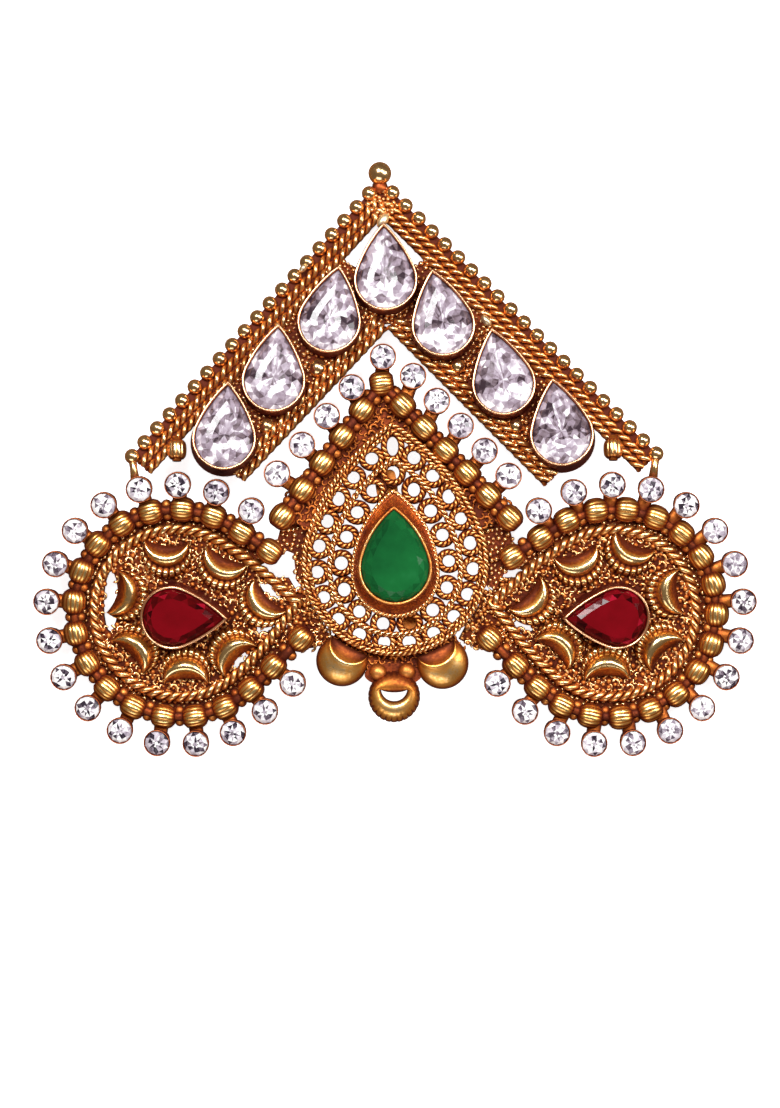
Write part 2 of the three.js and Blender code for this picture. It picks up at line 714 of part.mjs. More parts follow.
function broochPin() {
  const top = vector(PIN.topX, PIN.topY);
  const end = vector(PIN.endX, PIN.endY);
  const [footX, footY, footZ] = PIN.foot;
  const footTop = PANEL_BACK - GAP;
  const postHeight = footTop - footZ / 2 - PIN.height;
  const forms = [wire(top, end, PIN.height, PIN.stem, WIRE_SIDES)];
  for (const at of [top, end]) {
    forms.push(new THREE.BoxGeometry(footX, footY, footZ)
      .translate(at.x, at.y, footTop - footZ / 2));
    forms.push(new THREE.BoxGeometry(PIN.post, PIN.post, postHeight)
      .translate(at.x, at.y, PIN.height + postHeight / 2));
  }
  const hook = new THREE.BoxGeometry(...PIN.hook);
  forms.push(hook.translate(end.x, end.y, PIN.height - PIN.hookDrop));
  return piece('brooch_pin', join(forms), GOLD);
}

const brooch = new THREE.Group();
brooch.position.y = -MIDDLE_Y;
brooch.add(crest, panel, drops, ...LOBES.map(lobe), broochPin());

export default brooch;
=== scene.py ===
import math
import random

import bmesh
import bpy
from mathutils import Matrix, Vector


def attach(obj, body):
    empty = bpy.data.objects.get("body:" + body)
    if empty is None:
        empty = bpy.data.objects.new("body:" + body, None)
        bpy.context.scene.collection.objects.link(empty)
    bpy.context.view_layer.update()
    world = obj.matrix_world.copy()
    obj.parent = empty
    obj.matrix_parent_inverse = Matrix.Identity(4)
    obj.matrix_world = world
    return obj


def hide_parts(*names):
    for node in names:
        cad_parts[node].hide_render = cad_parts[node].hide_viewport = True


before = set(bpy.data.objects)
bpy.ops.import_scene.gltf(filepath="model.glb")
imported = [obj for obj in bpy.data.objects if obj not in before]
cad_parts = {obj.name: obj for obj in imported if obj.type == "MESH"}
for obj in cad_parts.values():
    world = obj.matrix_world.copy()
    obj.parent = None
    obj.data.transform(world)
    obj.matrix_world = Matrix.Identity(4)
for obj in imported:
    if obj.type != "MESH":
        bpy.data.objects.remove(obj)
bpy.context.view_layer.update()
scene = bpy.context.scene


# ---- Studio ----
# The brooch lies on its back on a white table. The camera looks straight down on its front from
# well above. Large soft lights above and beside it give the metal broad highlights.
def rows_of(columns, *rows):
    """A short table: each row's values by the names of its columns."""
    return [dict(zip(columns.split(), row)) for row in rows]


VIEW_MIDDLE = Vector((-0.00056, -0.01066, 0.0075))
VIEW_WIDTH = 0.0867
CAMERA_HEIGHT = 0.62
TABLE_SIDE = 1.5
LIGHTS = rows_of(
    "name place wide deep watts",
    ("key_light", (-0.16, 0.34, 0.62), 0.26, 0.26, 4.6),
    ("right_light", (0.30, 0.28, 0.66), 0.22, 0.22, 2.6),
    ("side_light", (0.50, 0.05, 0.40), 0.20, 0.40, 1.6),
    ("low_light", (-0.10, -0.55, 0.35), 0.50, 0.20, 1.0))


def added(name, data):
    made = bpy.data.objects.new(name, data)
    scene.collection.objects.link(made)
    return made


lens = bpy.data.cameras.new("camera")
lens.sensor_fit = "HORIZONTAL"
lens.sensor_width = 36.0
lens.lens = lens.sensor_width * (CAMERA_HEIGHT - VIEW_MIDDLE.z) / VIEW_WIDTH
camera = added("camera", lens)
camera.location = (VIEW_MIDDLE.x, VIEW_MIDDLE.y, CAMERA_HEIGHT)
scene.camera = camera
scene.view_settings.view_transform = "Standard"

for row in LIGHTS:
    lamp = bpy.data.lights.new(row["name"], "AREA")
    lamp.shape = "RECTANGLE"
    lamp.size, lamp.size_y, lamp.energy = row["wide"], row["deep"], row["watts"]
    holder = added(row["name"], lamp)
    holder.location = row["place"]
    holder.rotation_euler = (VIEW_MIDDLE - Vector(row["place"])).to_track_quat("-Z", "Y").to_euler()

room = bpy.data.worlds.new("room")
room.use_nodes = True
room_light = room.node_tree.nodes["Background"].inputs
room_light["Color"].default_value = (1.0, 0.72, 0.48, 1.0)
room_light["Strength"].default_value = 0.14
scene.world = room

table_mesh = bpy.data.meshes.new("table")
TABLE_CORNERS = ((-1, -1), (1, -1), (1, 1), (-1, 1))
table_mesh.from_pydata([(TABLE_SIDE * x, TABLE_SIDE * y, 0) for x, y in TABLE_CORNERS], [], [(0, 1, 2, 3)])
table_finish = bpy.data.materials.new("white_table")
table_finish.use_nodes = True
for socket, value in (("Base Color", (0.94, 0.94, 0.94, 1)), ("Roughness", 0.9),
                      ("Emission Color", (1, 1, 1, 1)), ("Emission Strength", 0.9)):
    table_finish.node_tree.nodes["Principled BSDF"].inputs[socket].default_value = value
table_mesh.materials.append(table_finish)
table = added("table", table_mesh)
table.visible_glossy = False


# ---- Crest: rows of balls ----
# Two straight rows of small cast balls run down from the tip of the crest, each soldered to the
# outer twisted wire, with a larger ball on a ringed stem at the tip. Antique gold plate on brass.
MILLIMETRE = 0.001
MIDDLE_Y = 0.22                  # the outline's middle in these sizes
FOLD_Y = -5.0                    # line across the brooch where the crest begins to lean back
CREST_LEAN = 9.17                # degrees
PANEL_BACK = 6.0
BALL_RADIUS = 0.86
ARMS = rows_of(
    "side top end balls",
    (-1, (-2.9, 29.9), (-29.3, 0.3), 20),
    (1, (-0.3, 30.0), (29.1, 0.6), 21))
TIP = dict(at=(-1.7, 32.1), radius=1.3, stem_down=1.5)
TIP_STEM = [(0.8, 0.0, 0.9), (0.9, 0.9, 0.7), (0.7, 1.3, 0.8), (0.3, 1.5, 0.9)]
ANTIQUE_TONES = [
    (0.0, (1.0, 0.70, 0.36)),
    (0.25, (0.90, 0.42, 0.12)),
    (0.5, (0.66, 0.20, 0.035)),
    (0.75, (0.34, 0.065, 0.012)),
    (1.0, (0.12, 0.018, 0.005)),
]


def to_place(at, z=0.0):
    return Matrix.Translation((at[0], at[1], z))


def turn_by(degrees, axis="Z"):
    return Matrix.Rotation(math.radians(degrees), 4, axis)


millimetres = Matrix.Scale(MILLIMETRE, 4)
on_crest = millimetres @ to_place((0, FOLD_Y - MIDDLE_Y), PANEL_BACK) @ turn_by(-CREST_LEAN, "X")


def crest_point(at):
    """A place in the brooch's outline, as it lies on the leaning crest."""
    return Vector((at[0], (at[1] - FOLD_Y) / math.cos(math.radians(CREST_LEAN))))


class Paint:
    """A socket of a finish or of a shape's tree. Sums of sockets and numbers add Math nodes."""

    def __init__(self, tree, made=None, out=0):
        self.tree = tree
        self.made = made
        self.socket = made.outputs[out] if made and made.outputs else None

    def out(self, name):
        return Paint(self.tree, self.made, name)

    def node(self, kind, settings=None, sockets=None, out=0):
        made = self.tree.nodes.new(kind)
        for name, value in (settings or {}).items():
            if name == "stops":
                ramp = made.color_ramp
                ramp.elements.remove(ramp.elements[1])
                for i, (position, colour) in enumerate(value):
                    stop = ramp.elements.new(position) if i else ramp.elements[0]
                    stop.position = position
                    stop.color = (*colour, 1)
            else:
                setattr(made, name, value)
        for name, value in (sockets or {}).items():
            if isinstance(value, Paint):
                self.tree.links.new(value.socket, made.inputs[name])
            else:
                made.inputs[name].default_value = value
        return Paint(self.tree, made, out)

    def maths(self, operation, *values):
        return self.node("ShaderNodeMath", {"operation": operation}, dict(enumerate(values)))

    def vectors(self, operation, *values):
        return self.node("ShaderNodeVectorMath", {"operation": operation}, dict(enumerate(values)))

    def __add__(self, other):
        return self.maths("ADD", self, other)

    def __radd__(self, other):
        return self.maths("ADD", other, self)

    def __sub__(self, other):
        return self.maths("SUBTRACT", self, other)

    def __rsub__(self, other):
        return self.maths("SUBTRACT", other, self)

    def __mul__(self, other):
        return self.maths("MULTIPLY", self, other)

    def __rmul__(self, other):
        return self.maths("MULTIPLY", other, self)

    def __truediv__(self, other):
        return self.maths("DIVIDE", self, other)

    def __rtruediv__(self, other):
        return self.maths("DIVIDE", other, self)

    def clamped(self):
        return self.node("ShaderNodeClamp", sockets={"Value": self})


def begun(name):
    """A new finish, the start of its nodes, and the place on the piece."""
    finish = bpy.data.materials.new(name)
    finish.use_nodes = True
    finish.node_tree.nodes.clear()
    start = Paint(finish.node_tree)
    return finish, start, start.node("ShaderNodeTexCoord", out="Object")


def own_value(start, name):
    return start.node("ShaderNodeAttribute", {"attribute_name": name}, out="Fac")


def noise(start, place, scale, detail):
    return start.node("ShaderNodeTexNoise", sockets={"Vector": place, "Scale": scale, "Detail": detail})


def coated(start, **sockets):
    sockets = {name.replace("_", " "): value for name, value in sockets.items()}
    surface = start.node("ShaderNodeBsdfPrincipled", sockets=sockets)
    start.node("ShaderNodeOutputMaterial", sockets={"Surface": surface})


def gold(name, tones=ANTIQUE_TONES, age=0.0, shine=0.2, grain=0.5, patches=1.0, side_shade=0.7, own=0.0):
    """Antique gold: bright where it is rubbed, red-brown in its hollows. Faces that turn away from
    straight up get painted shade, so that tops read as lit and sides as shaded.

    Where own is given, each part's tone paints shade into its hollows, or light where it is below zero.
    """
    finish, start, place = begun(name)
    facing = start.node("ShaderNodeSeparateXYZ", sockets={0: place.out("Normal")}, out="Z")
    recess, tone = own_value(start, "recess"), own_value(start, "tone")
    cloud, grit = noise(start, place, 420.0, 4.0), noise(start, place, 3200.0, 3.0)
    # Recess is patina in the hollows and also painted shade or highlight; the side term is painted shade on
    # faces turned away from straight up; tone times own is painted shade or light in a hollow.
    wear_and_shade = (recess * 0.9 + (1 - facing) * side_shade + (cloud - 0.5) * (0.5 * patches)
            + (grit - 0.5) * (0.35 * patches) + tone * (recess + 0.2) * own + age).clamped()
    colour = start.node("ShaderNodeValToRGB", {"stops": tones}, {"Fac": wear_and_shade})
    bump = start.node("ShaderNodeBump", sockets={
        "Strength": grain, "Distance": 0.00003, "Height": grit + cloud * 0.6})
    coated(start, Base_Color=colour, Metallic=1 - wear_and_shade * 0.3,
           Roughness=shine + wear_and_shade * 0.3 + grit * 0.08, Normal=bump)
    return finish


def settled(shape, node, place, finish, smooth=True, slot="antique_gold"):
    """Moves a mesh to its place in metres, with one finish and its faces outwards."""
    fresh = bmesh.new()
    fresh.from_mesh(shape.data)
    bmesh.ops.recalc_face_normals(fresh, faces=fresh.faces)
    for face in fresh.faces:
        face.material_index = 0
        face.smooth = smooth
    fresh.to_mesh(shape.data)
    fresh.free()
    shape.data.transform(place)
    shape.data.materials.clear()
    shape.data.materials.append(finish)
    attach(shape, "root")
    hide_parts(node)
    return shape


class Form:
    """Points, faces, how dark each point is, for patina in a hollow or for painted shade and highlight, and a
    tone for each face.
    """

    def __init__(self, points=(), faces=(), recess=(), tones=()):
        self.points, self.faces = list(points), list(faces)
        self.recess, self.tones = list(recess), list(tones)

    def __add__(self, other):
        first = len(self.points)
        faces = [tuple(first + corner for corner in face) for face in other.faces]
        return Form(self.points + other.points, self.faces + faces,
                    self.recess + other.recess, self.tones + other.tones)

    def moved(self, place):
        return Form([place @ Vector(point) for point in self.points], self.faces, self.recess, self.tones)

    def shape(self, name):
        mesh = bpy.data.meshes.new(name)
        mesh.from_pydata([tuple(point) for point in self.points], [], self.faces)
        for label, domain, values in (("recess", "POINT", self.recess), ("facet", "FACE", self.tones)):
            if values:
                mesh.attributes.new(label, "FLOAT", domain).data.foreach_set("value", values)
        return added(name, mesh)

    def piece(self, name, node, place, finish, **other):
        return settled(self.shape(name), node, place, finish, **other)


def all_of(forms):
    return sum(forms, Form())


def around(sides, shift=0.0):
    """Directions at equal angles round a circle, as pairs of X and Y."""
    angles = [2 * math.pi * (k + shift) / sides for k in range(sides)]
    return [(math.cos(angle), math.sin(angle)) for angle in angles]


def loft(rings, recess, loop=False):
    """Faces between rings of equal counts, closed with a cap at each end or into a loop."""
    count = len(rings[0])
    form = Form([point for ring in rings for point in ring], [],
                [depth for depth in recess for _ in range(count)])
    for step in range(len(rings) if loop else len(rings) - 1):
        low, high = step * count, (step + 1) % len(rings) * count
        for k in range(count):
            after = (k + 1) % count
            form.faces.append((low + k, low + after, high + after, high + k))
    if not loop:
        form.faces.append(tuple(reversed(range(count))))
        form.faces.append(tuple(range((len(rings) - 1) * count, len(rings) * count)))
    return form


def turned(profile, sides, loop=False):
    """A form turned about Z from rows of radius, height and recess."""
    rings = [[(radius * x, radius * y, height) for x, y in around(sides)] for radius, height, _ in profile]
    return loft(rings, [row[2] for row in profile], loop)


def tree_with(name, **kinds):
    """An empty Geometry Nodes tree with named inputs, from which its nodes start."""
    tree = bpy.data.node_groups.new(name, "GeometryNodeTree")
    tree.interface.new_socket("Geometry", in_out="INPUT", socket_type="NodeSocketGeometry")
    for label, kind in kinds.items():
        tree.interface.new_socket(label, in_out="INPUT", socket_type="NodeSocket" + kind)
    tree.interface.new_socket("Geometry", in_out="OUTPUT", socket_type="NodeSocketGeometry")
    return Paint(tree, tree.nodes.new("NodeGroupInput"))


def finished_tree(start, shape):
    """Ends a tree: its instances become real, and they take the finish."""
    real = start.node("GeometryNodeRealizeInstances", sockets={"Geometry": shape})
    dressed = start.node("GeometryNodeSetMaterial", sockets={
        "Geometry": real, "Material": start.out("Finish")})
    start.node("NodeGroupOutput", sockets={"Geometry": dressed})
    return start.tree


def parts_on(start, points, **sockets):
    """The tree's part set on each point, as an instance."""
    part = start.node("GeometryNodeObjectInfo", sockets={
        "Object": start.out("Part"), "As Instance": True}, out="Geometry")
    return finished_tree(start, start.node("GeometryNodeInstanceOnPoints", sockets={
        "Points": points, "Instance": part, **sockets}))


def kept(source, name):
    """What an object evaluates to, as a plain mesh in its stead."""
    bpy.context.view_layer.update()
    ready = source.evaluated_get(bpy.context.evaluated_depsgraph_get())
    made = added(name, bpy.data.meshes.new_from_object(ready))
    made.data.name = name
    bpy.data.objects.remove(source)
    return made


def made_by(tree, source, name, node, place, finish, values, **other):
    """Runs a tree on a source object and settles the result as a plain mesh."""
    modifier = source.modifiers.new(name, "NODES")
    modifier.node_group = tree
    for item in tree.interface.items_tree:
        if item.name in values:
            modifier[item.identifier] = values[item.name]
        elif item.name == "Finish":
            modifier[item.identifier] = finish
    source.update_tag()
    return settled(kept(source, name), node, place, finish, **other)


def vector_of(start, name):
    return start.node("GeometryNodeInputNamedAttribute", {"data_type": "FLOAT_VECTOR"}, {"Name": name})


def setting_out_tree():
    """Sets a small part on each point, turned by the point's turn and scaled by its size."""
    start = tree_with("setting_out", Part="Object", Finish="Material")
    turn = start.node("FunctionNodeEulerToRotation", sockets={"Euler": vector_of(start, "turn")})
    return parts_on(start, start.out("Geometry"), Rotation=turn, Scale=vector_of(start, "size"))


setting_out = setting_out_tree()


def seat(at, z=0.0, turn=0.0, size=(1.0, 1.0, 1.0), tone=0.0):
    return dict(at=(at[0], at[1], z), turn=(0.0, 0.0, turn), size=size, tone=tone)


def set_out(name, node, place, finish, form, seats, **other):
    """Sets a form on each seat."""
    points = bpy.data.meshes.new(name + "_seats")
    points.from_pydata([row["at"] for row in seats], [], [])
    for label in ("turn", "size"):
        flat = [number for row in seats for number in row[label]]
        points.attributes.new(label, "FLOAT_VECTOR", "POINT").data.foreach_set("vector", flat)
    tones = [row["tone"] for row in seats]
    points.attributes.new("tone", "FLOAT", "POINT").data.foreach_set("value", tones)
    part = form.shape(name + "_part")
    made_by(setting_out, added(name + "_seats", points), name, node, place, finish, {"Part": part}, **other)
    bpy.data.objects.remove(part)


def ball(radius, sides=16, rings=9):
    """A ball that stands on the plane, darker towards its foot."""
    profile = []
    for ring in range(rings + 1):
        angle = math.pi * (0.02 + 0.96 * ring / rings)
        shade = max(0.0, math.cos(angle)) * 0.6
        profile.append((radius * math.sin(angle), radius * (1 - math.cos(angle)), shade))
    return turned(profile, sides)


def laid_out(arms, inwards):
    """Gives each arm its ends on the crest and the direction beside it."""
    for arm in arms:
        arm["start"], arm["stop"] = crest_point(arm["top"]), crest_point(arm["end"])
        along = (arm["stop"] - arm["start"]).normalized()
        arm["beside"] = Vector((along.y, -along.x)) * arm["side"] * inwards


laid_out(ARMS, 1)
bright_gold = gold("polished_gold", age=-0.1, shine=0.16, grain=0.25)
ball_seats = [seat(arm["start"].lerp(arm["stop"], i / (arm["balls"] - 1)))
              for arm in ARMS for i in range(arm["balls"])]
set_out("crest_balls", "crest_frame", on_crest, bright_gold, ball(BALL_RADIUS), ball_seats)

tip = crest_point(TIP["at"])
tip_form = ball(TIP["radius"], 28, 16).moved(to_place(tip))
tip_form += turned(TIP_STEM, 16).moved(to_place(tip - Vector((0, TIP["stem_down"]))))
tip_form.piece("tip_ball", "crest_frame", on_crest, bright_gold)


# ---- Crest: twisted wires ----
# Two twisted wires run inside each row of balls, and two more under the clear stones. They are
# soldered side by side on a narrow strip. Antique gold plate, red-brown between the strands.
INNER_ARMS = rows_of(
    "side top end",
    (-1, (-1.2, 14.9), (-17.1, -2.1)),
    (1, (-0.5, 15.0), (16.9, -2.6)))
WIRES = rows_of(
    "arms across radius lay",
    (ARMS, 1.3, 0.56, 1.09),
    (ARMS, 2.4, 0.56, 1.09),
    (INNER_ARMS, 0.0, 0.58, 1.15),
    (INNER_ARMS, 1.1, 0.58, 1.15))
WIRE_MIDDLE = 0.72               # height of a wire's middle
STRIPS = rows_of("arms near far thick", (ARMS, -0.1, 2.8, 0.6), (INNER_ARMS, -0.4, 1.5, 0.55))


def twisted_wire_tree():
    """Twists strands round a flat path. The recess grows towards the middle of the twist."""
    start = tree_with("twisted_wire", Lay="Float", Strands="Int", Radius="Float", Finish="Material")
    lay, count, half = start.out("Lay"), start.out("Strands"), start.out("Radius") / 2
    spot = start.node("GeometryNodeInputPosition")

    def marked(shape, name, kind, value):
        return start.node("GeometryNodeStoreNamedAttribute", {"data_type": kind, "domain": "POINT"},
                          {"Geometry": shape, "Name": name, "Value": value})

    path = start.node("GeometryNodeMeshToCurve", sockets={"Mesh": start.out("Geometry")})
    fine = start.node("GeometryNodeResampleCurve", {"mode": "LENGTH"}, {"Curve": path, "Length": lay / 5})
    strands = start.node("GeometryNodeDuplicateElements", {"domain": "SPLINE"}, {
        "Geometry": marked(fine, "middle", "FLOAT_VECTOR", spot), "Amount": count})
    length = start.node("GeometryNodeSplineLength", out="Length")
    along = start.node("GeometryNodeSplineParameter", out="Factor")
    turns = start.maths("ROUND", length / (lay * count))
    phase = (along * turns + strands.out("Duplicate Index") / count) * (2 * math.pi)
    tangent = start.node("GeometryNodeInputTangent")
    across = start.vectors("NORMALIZE", start.vectors("CROSS_PRODUCT", tangent, (0.0, 0.0, 1.0)))
    sideways = start.node("ShaderNodeVectorMath", {"operation": "SCALE"}, {
        0: across, "Scale": start.maths("COSINE", phase) * half})
    upwards = start.node("ShaderNodeCombineXYZ", sockets={"Z": start.maths("SINE", phase) * half})
    laid = start.node("GeometryNodeSetPosition", sockets={
        "Geometry": strands, "Offset": start.vectors("ADD", sideways, upwards)})
    round_wire = start.node("GeometryNodeCurvePrimitiveCircle", sockets={
        "Resolution": 7, "Radius": half * 1.06})
    rope = start.node("GeometryNodeCurveToMesh", sockets={
        "Curve": laid, "Profile Curve": round_wire, "Fill Caps": True})
    from_middle = start.vectors("DISTANCE", spot, vector_of(start, "middle")).out("Value")
    hollow = (1.05 - from_middle / start.out("Radius")) * 1.3
    return finished_tree(start, marked(rope, "recess", "FLOAT", hollow))


twisted_wire = twisted_wire_tree()


def twisted(name, node, place, finish, routes, radius, lay, closed=True, strands=2):
    """Twisted wire along each route of points, closed into a ring or open."""
    points, edges = [], []
    for route in routes:
        first = len(points)
        points += [tuple(point) for point in route]
        edges += [(first + i, first + i + 1) for i in range(len(route) - 1)]
        if closed:
            edges.append((len(points) - 1, first))
    path = bpy.data.meshes.new(name + "_path")
    path.from_pydata(points, edges, [])
    made_by(twisted_wire, added(name + "_path", path), name, node, place, finish,
            {"Lay": lay, "Strands": strands, "Radius": radius})


laid_out(INNER_ARMS, -1)
wire_gold = gold("twisted_gold", age=0.0, shine=0.2, grain=0.3)
dark_gold = gold("hollow_gold", age=0.72, shine=0.35, grain=0.9)
old_gold = gold("dull_gold", age=0.3, shine=0.3, grain=0.5)
deep_gold = gold("deep_gold", age=0.45, shine=0.32, grain=0.7, patches=1.5)
for number, row in enumerate(WIRES):
    routes = []
    for arm in row["arms"]:
        offset = arm["beside"] * row["across"]
        routes.append([(*(arm[end] + offset), WIRE_MIDDLE) for end in ("start", "stop")])
    twisted(f"crest_wire_{number + 1}", "crest_frame", on_crest, wire_gold, routes,
            row["radius"], row["lay"], closed=False)

strips = Form()
for row in STRIPS:
    for arm in row["arms"]:
        near, far = arm["beside"] * row["near"], arm["beside"] * row["far"]
        corners = [arm["start"] + near, arm["stop"] + near, arm["stop"] + far, arm["start"] + far]
        strips += loft([[(*corner, z) for corner in corners] for z in (0.0, row["thick"])], [1.0, 0.7])
strips.piece("crest_strips", "crest_frame", on_crest, dark_gold, smooth=False)


# ---- Crest: pear settings ----
# Each clear stone sits in a box of thin sheet whose edge is burnished in over the stone. The
# boxes are soldered to each other and to the wires. Rose-tinted gold plate.
CLEAR = dict(width=7.15, length=10.1, fullness=2.2)
CLEAR_WALL = 3.2
CLEAR_SEATS = rows_of(
    "at lean",
    ((-18.9, 3.4), -3.9),
    ((-13.4, 9.85), -5.0),
    ((-7.1, 16.45), -10.1),
    ((-1.1, 21.2), 2.1),
    ((5.1, 16.05), 11.3),
    ((11.8, 9.45), 12.2),
    ((18.3, 3.8), 9.1))
ROSE_TONES = [
    (0.0, (1.0, 0.62, 0.36)),
    (0.35, (0.80, 0.32, 0.12)),
    (0.65, (0.42, 0.09, 0.03)),
    (1.0, (0.12, 0.012, 0.006)),
]


class Pear:
    """An outline of three arcs, with its round end about its middle and its point towards +Y."""

    def __init__(self, width, length, fullness, below=None):
        self.round = width / 2
        self.reach = length - width / 2
        self.side = fullness * width
        self.lift = 0.0 if below is None else width / 2 - below

    def leaving(self):
        over = 2 * self.side * self.round - self.round ** 2 - self.reach ** 2
        return math.asin(over / (2 * self.reach * (self.side - self.round)))

    def inset(self, by):
        shift = self.side - self.round
        rise = shift * math.sin(self.leaving())
        smaller = Pear(2, 2, 1)
        smaller.round = self.round - by
        smaller.reach = math.sqrt(rise ** 2 + (self.side - by) ** 2 - shift ** 2) - rise
        smaller.side = self.side - by
        smaller.lift = self.lift
        return smaller

    def outline(self, steps=48):
        """Points at equal distances, from the point down the left side and back."""
        leave = self.leaving()
        shift = self.side - self.round
        middle = Vector((-shift * math.cos(leave), -shift * math.sin(leave)))
        tip = math.atan2(self.reach - middle.y, -middle.x)
        side_length = self.side * (tip - leave)
        whole = side_length + self.round * (leave + math.pi / 2)
        right = []
        for k in range(1, steps // 2):
            run = whole * k / (steps // 2)
            on_side = run < side_length
            radius = self.side if on_side else self.round
            angle = tip - run / radius if on_side else leave - (run - side_length) / radius
            at = radius * Vector((math.cos(angle), math.sin(angle)))
            right.append(middle + at if on_side else at)
        left = [Vector((-at.x, at.y)) for at in right]
        points = [Vector((0, self.reach)), *left, Vector((0, -self.round)), *reversed(right)]
        return [Vector((at.x, at.y + self.lift)) for at in points]


def pear_loft(sections, steps=48, loop=False):
    """A loft round pears: for each pear, rows of inset, height and recess."""
    rings, recess = [], []
    for pear, rows in sections:
        for by, height, depth in rows:
            rings.append([(at.x, at.y, height) for at in pear.inset(by).outline(steps)])
            recess.append(depth)
    return loft(rings, recess, loop)


def setting(pear, wall, foot=0.0, flange=0.25):
    """A box for a pear stone: a foot that spreads, a thin wall and a burnished rim. Its inner wall is painted
    dark as shade round the stone.
    """
    return pear_loft([(pear, [
        (-flange, foot, 1.0), (-flange, foot + 0.25, 0.5), (-flange * 0.4, foot + 0.55, 0.8),
        (0.0, wall - 0.55, 0.45), (0.02, wall - 0.12, 0.15), (0.08, wall, 0.0),
        (0.2, wall, 0.0), (0.3, wall - 0.12, 0.35), (0.36, wall - 0.5, 0.9),
        (0.36, foot + 0.6, 1.0)])])


rose_gold = gold("rose_gold", tones=ROSE_TONES, age=0.02, shine=0.2, grain=0.1, patches=0.35)
clear_pear = Pear(**CLEAR)
clear_places = [to_place(crest_point(row["at"])) @ turn_by(row["lean"])
                @ to_place((0, -(CLEAR["length"] - CLEAR["width"]) / 2)) for row in CLEAR_SEATS]
boxes = all_of(setting(clear_pear, CLEAR_WALL).moved(place) for place in clear_places)
boxes.piece("clear_settings", "crest_frame", on_crest, rose_gold)


# ---- Crest: ground ----
# Behind the settings lies a thin sheet from the outer wires to the inner ones, covered with fine
# grains of gold. It leaves an opening on each side of the top setting. Dark red gold.
GROUND_THICK = 0.5
GROUND_RUN = (0.2, 0.8)          # how far down the outer wires the sheet begins and ends
GROUND_INSIDE = dict(outer=2.0, inner=0.5)      # how far in from the wires its edges lie
GRAIN_RADIUS = 0.27
TIP_SHEET = [(-2.9, 29.9), (-3.3, 28.4), (-1.5, 26.4), (0.3, 28.4), (-0.3, 30.0), (-1.6, 31.0)]
TIP_THICK = 0.9
WELD = 0.001

ground_gold = gold("ground_gold", age=0.95, shine=0.4, grain=1.0, patches=1.5)


def cut_plate(name, node, place, outline, thick=GROUND_THICK, holes=()):
    """A flat plate of rough dark gold, with holes cut through it."""
    curve = bpy.data.curves.new(name, "CURVE")
    curve.dimensions = "2D"
    curve.fill_mode = "BOTH"
    curve.extrude = thick / 2
    for ring in [outline, *holes]:
        spline = curve.splines.new("POLY")
        spline.points.add(len(ring) - 1)
        spline.use_cyclic_u = True
        for point, at in zip(spline.points, ring):
            point.co = (at[0], at[1], 0, 1)
    made = kept(added(name + "_curve", curve), name)
    solid = bmesh.new()
    solid.from_mesh(made.data)
    bmesh.ops.remove_doubles(solid, verts=solid.verts, dist=WELD)
    solid.to_mesh(made.data)
    solid.free()
    return settled(made, node, place @ to_place((0, 0), thick / 2), ground_gold, smooth=False)


def granulation_tree():
    """Strews grains over the upward faces of a sheet, at least a spacing apart."""
    start = tree_with("granulation", Part="Object", Spacing="Float", Seed="Int", Finish="Material")

    def chance(low, high):
        return start.node("FunctionNodeRandomValue", {"data_type": "FLOAT"}, {
            2: low, 3: high, "Seed": start.out("Seed")}, out=1)

    normal = start.node("GeometryNodeInputNormal")
    up = start.node("ShaderNodeSeparateXYZ", sockets={0: normal}, out="Z")
    spots = start.node("GeometryNodeDistributePointsOnFaces", {"distribute_method": "POISSON"}, {
        "Mesh": start.out("Geometry"), "Selection": start.maths("GREATER_THAN", up, 0.8),
        "Distance Min": start.out("Spacing"), "Density Max": 1e8, "Seed": start.out("Seed")})
    turn = start.node("ShaderNodeCombineXYZ", sockets={"Z": chance(0.0, 2 * math.pi)})
    spin = start.node("FunctionNodeEulerToRotation", sockets={"Euler": turn})
    return parts_on(start, spots, Rotation=spin, Scale=chance(0.6, 1.35))


granulation = granulation_tree()
grain_form = ball(GRAIN_RADIUS, 8, 5).moved(to_place((0, 0), -GRAIN_RADIUS * 0.7))


def granulate(name, node, finish, sheet, spacing, seed, form=grain_form):
    """Grains over a sheet that is already in its place."""
    part = form.moved(millimetres).shape(name + "_grain")
    made_by(granulation, added(name + "_source", sheet.data.copy()), name, node, Matrix(), finish,
            {"Part": part, "Seed": seed, "Spacing": spacing * MILLIMETRE})
    bpy.data.objects.remove(part)


outer_side = [[arm["start"].lerp(arm["stop"], part) + arm["beside"] * GROUND_INSIDE["outer"]
               for part in GROUND_RUN] for arm in ARMS]
inner_side = [[arm[end] + arm["beside"] * GROUND_INSIDE["inner"] for end in ("start", "stop")]
              for arm in INNER_ARMS]


def by_seat(number, over, down):
    x, y = CLEAR_SEATS[number]["at"]
    return crest_point((x + over, y - down))


crest_ground = cut_plate("crest_ground", "crest_frame", on_crest, [
    *outer_side[0], by_seat(0, -2.0, 3.0), *reversed(inner_side[0]),
    *inner_side[1], by_seat(-1, 2.0, 3.0), *reversed(outer_side[1]), by_seat(3, 0.0, 1.0)])
granulate("crest_granulation", "crest_frame", wire_gold, crest_ground, 0.45, seed=1)
tip_edge = [crest_point(at) for at in TIP_SHEET]
tip_ground = cut_plate("tip_ground", "crest_frame", on_crest, tip_edge, TIP_THICK)
granulate("tip_granulation", "crest_frame", wire_gold, tip_ground, 0.42, seed=3)


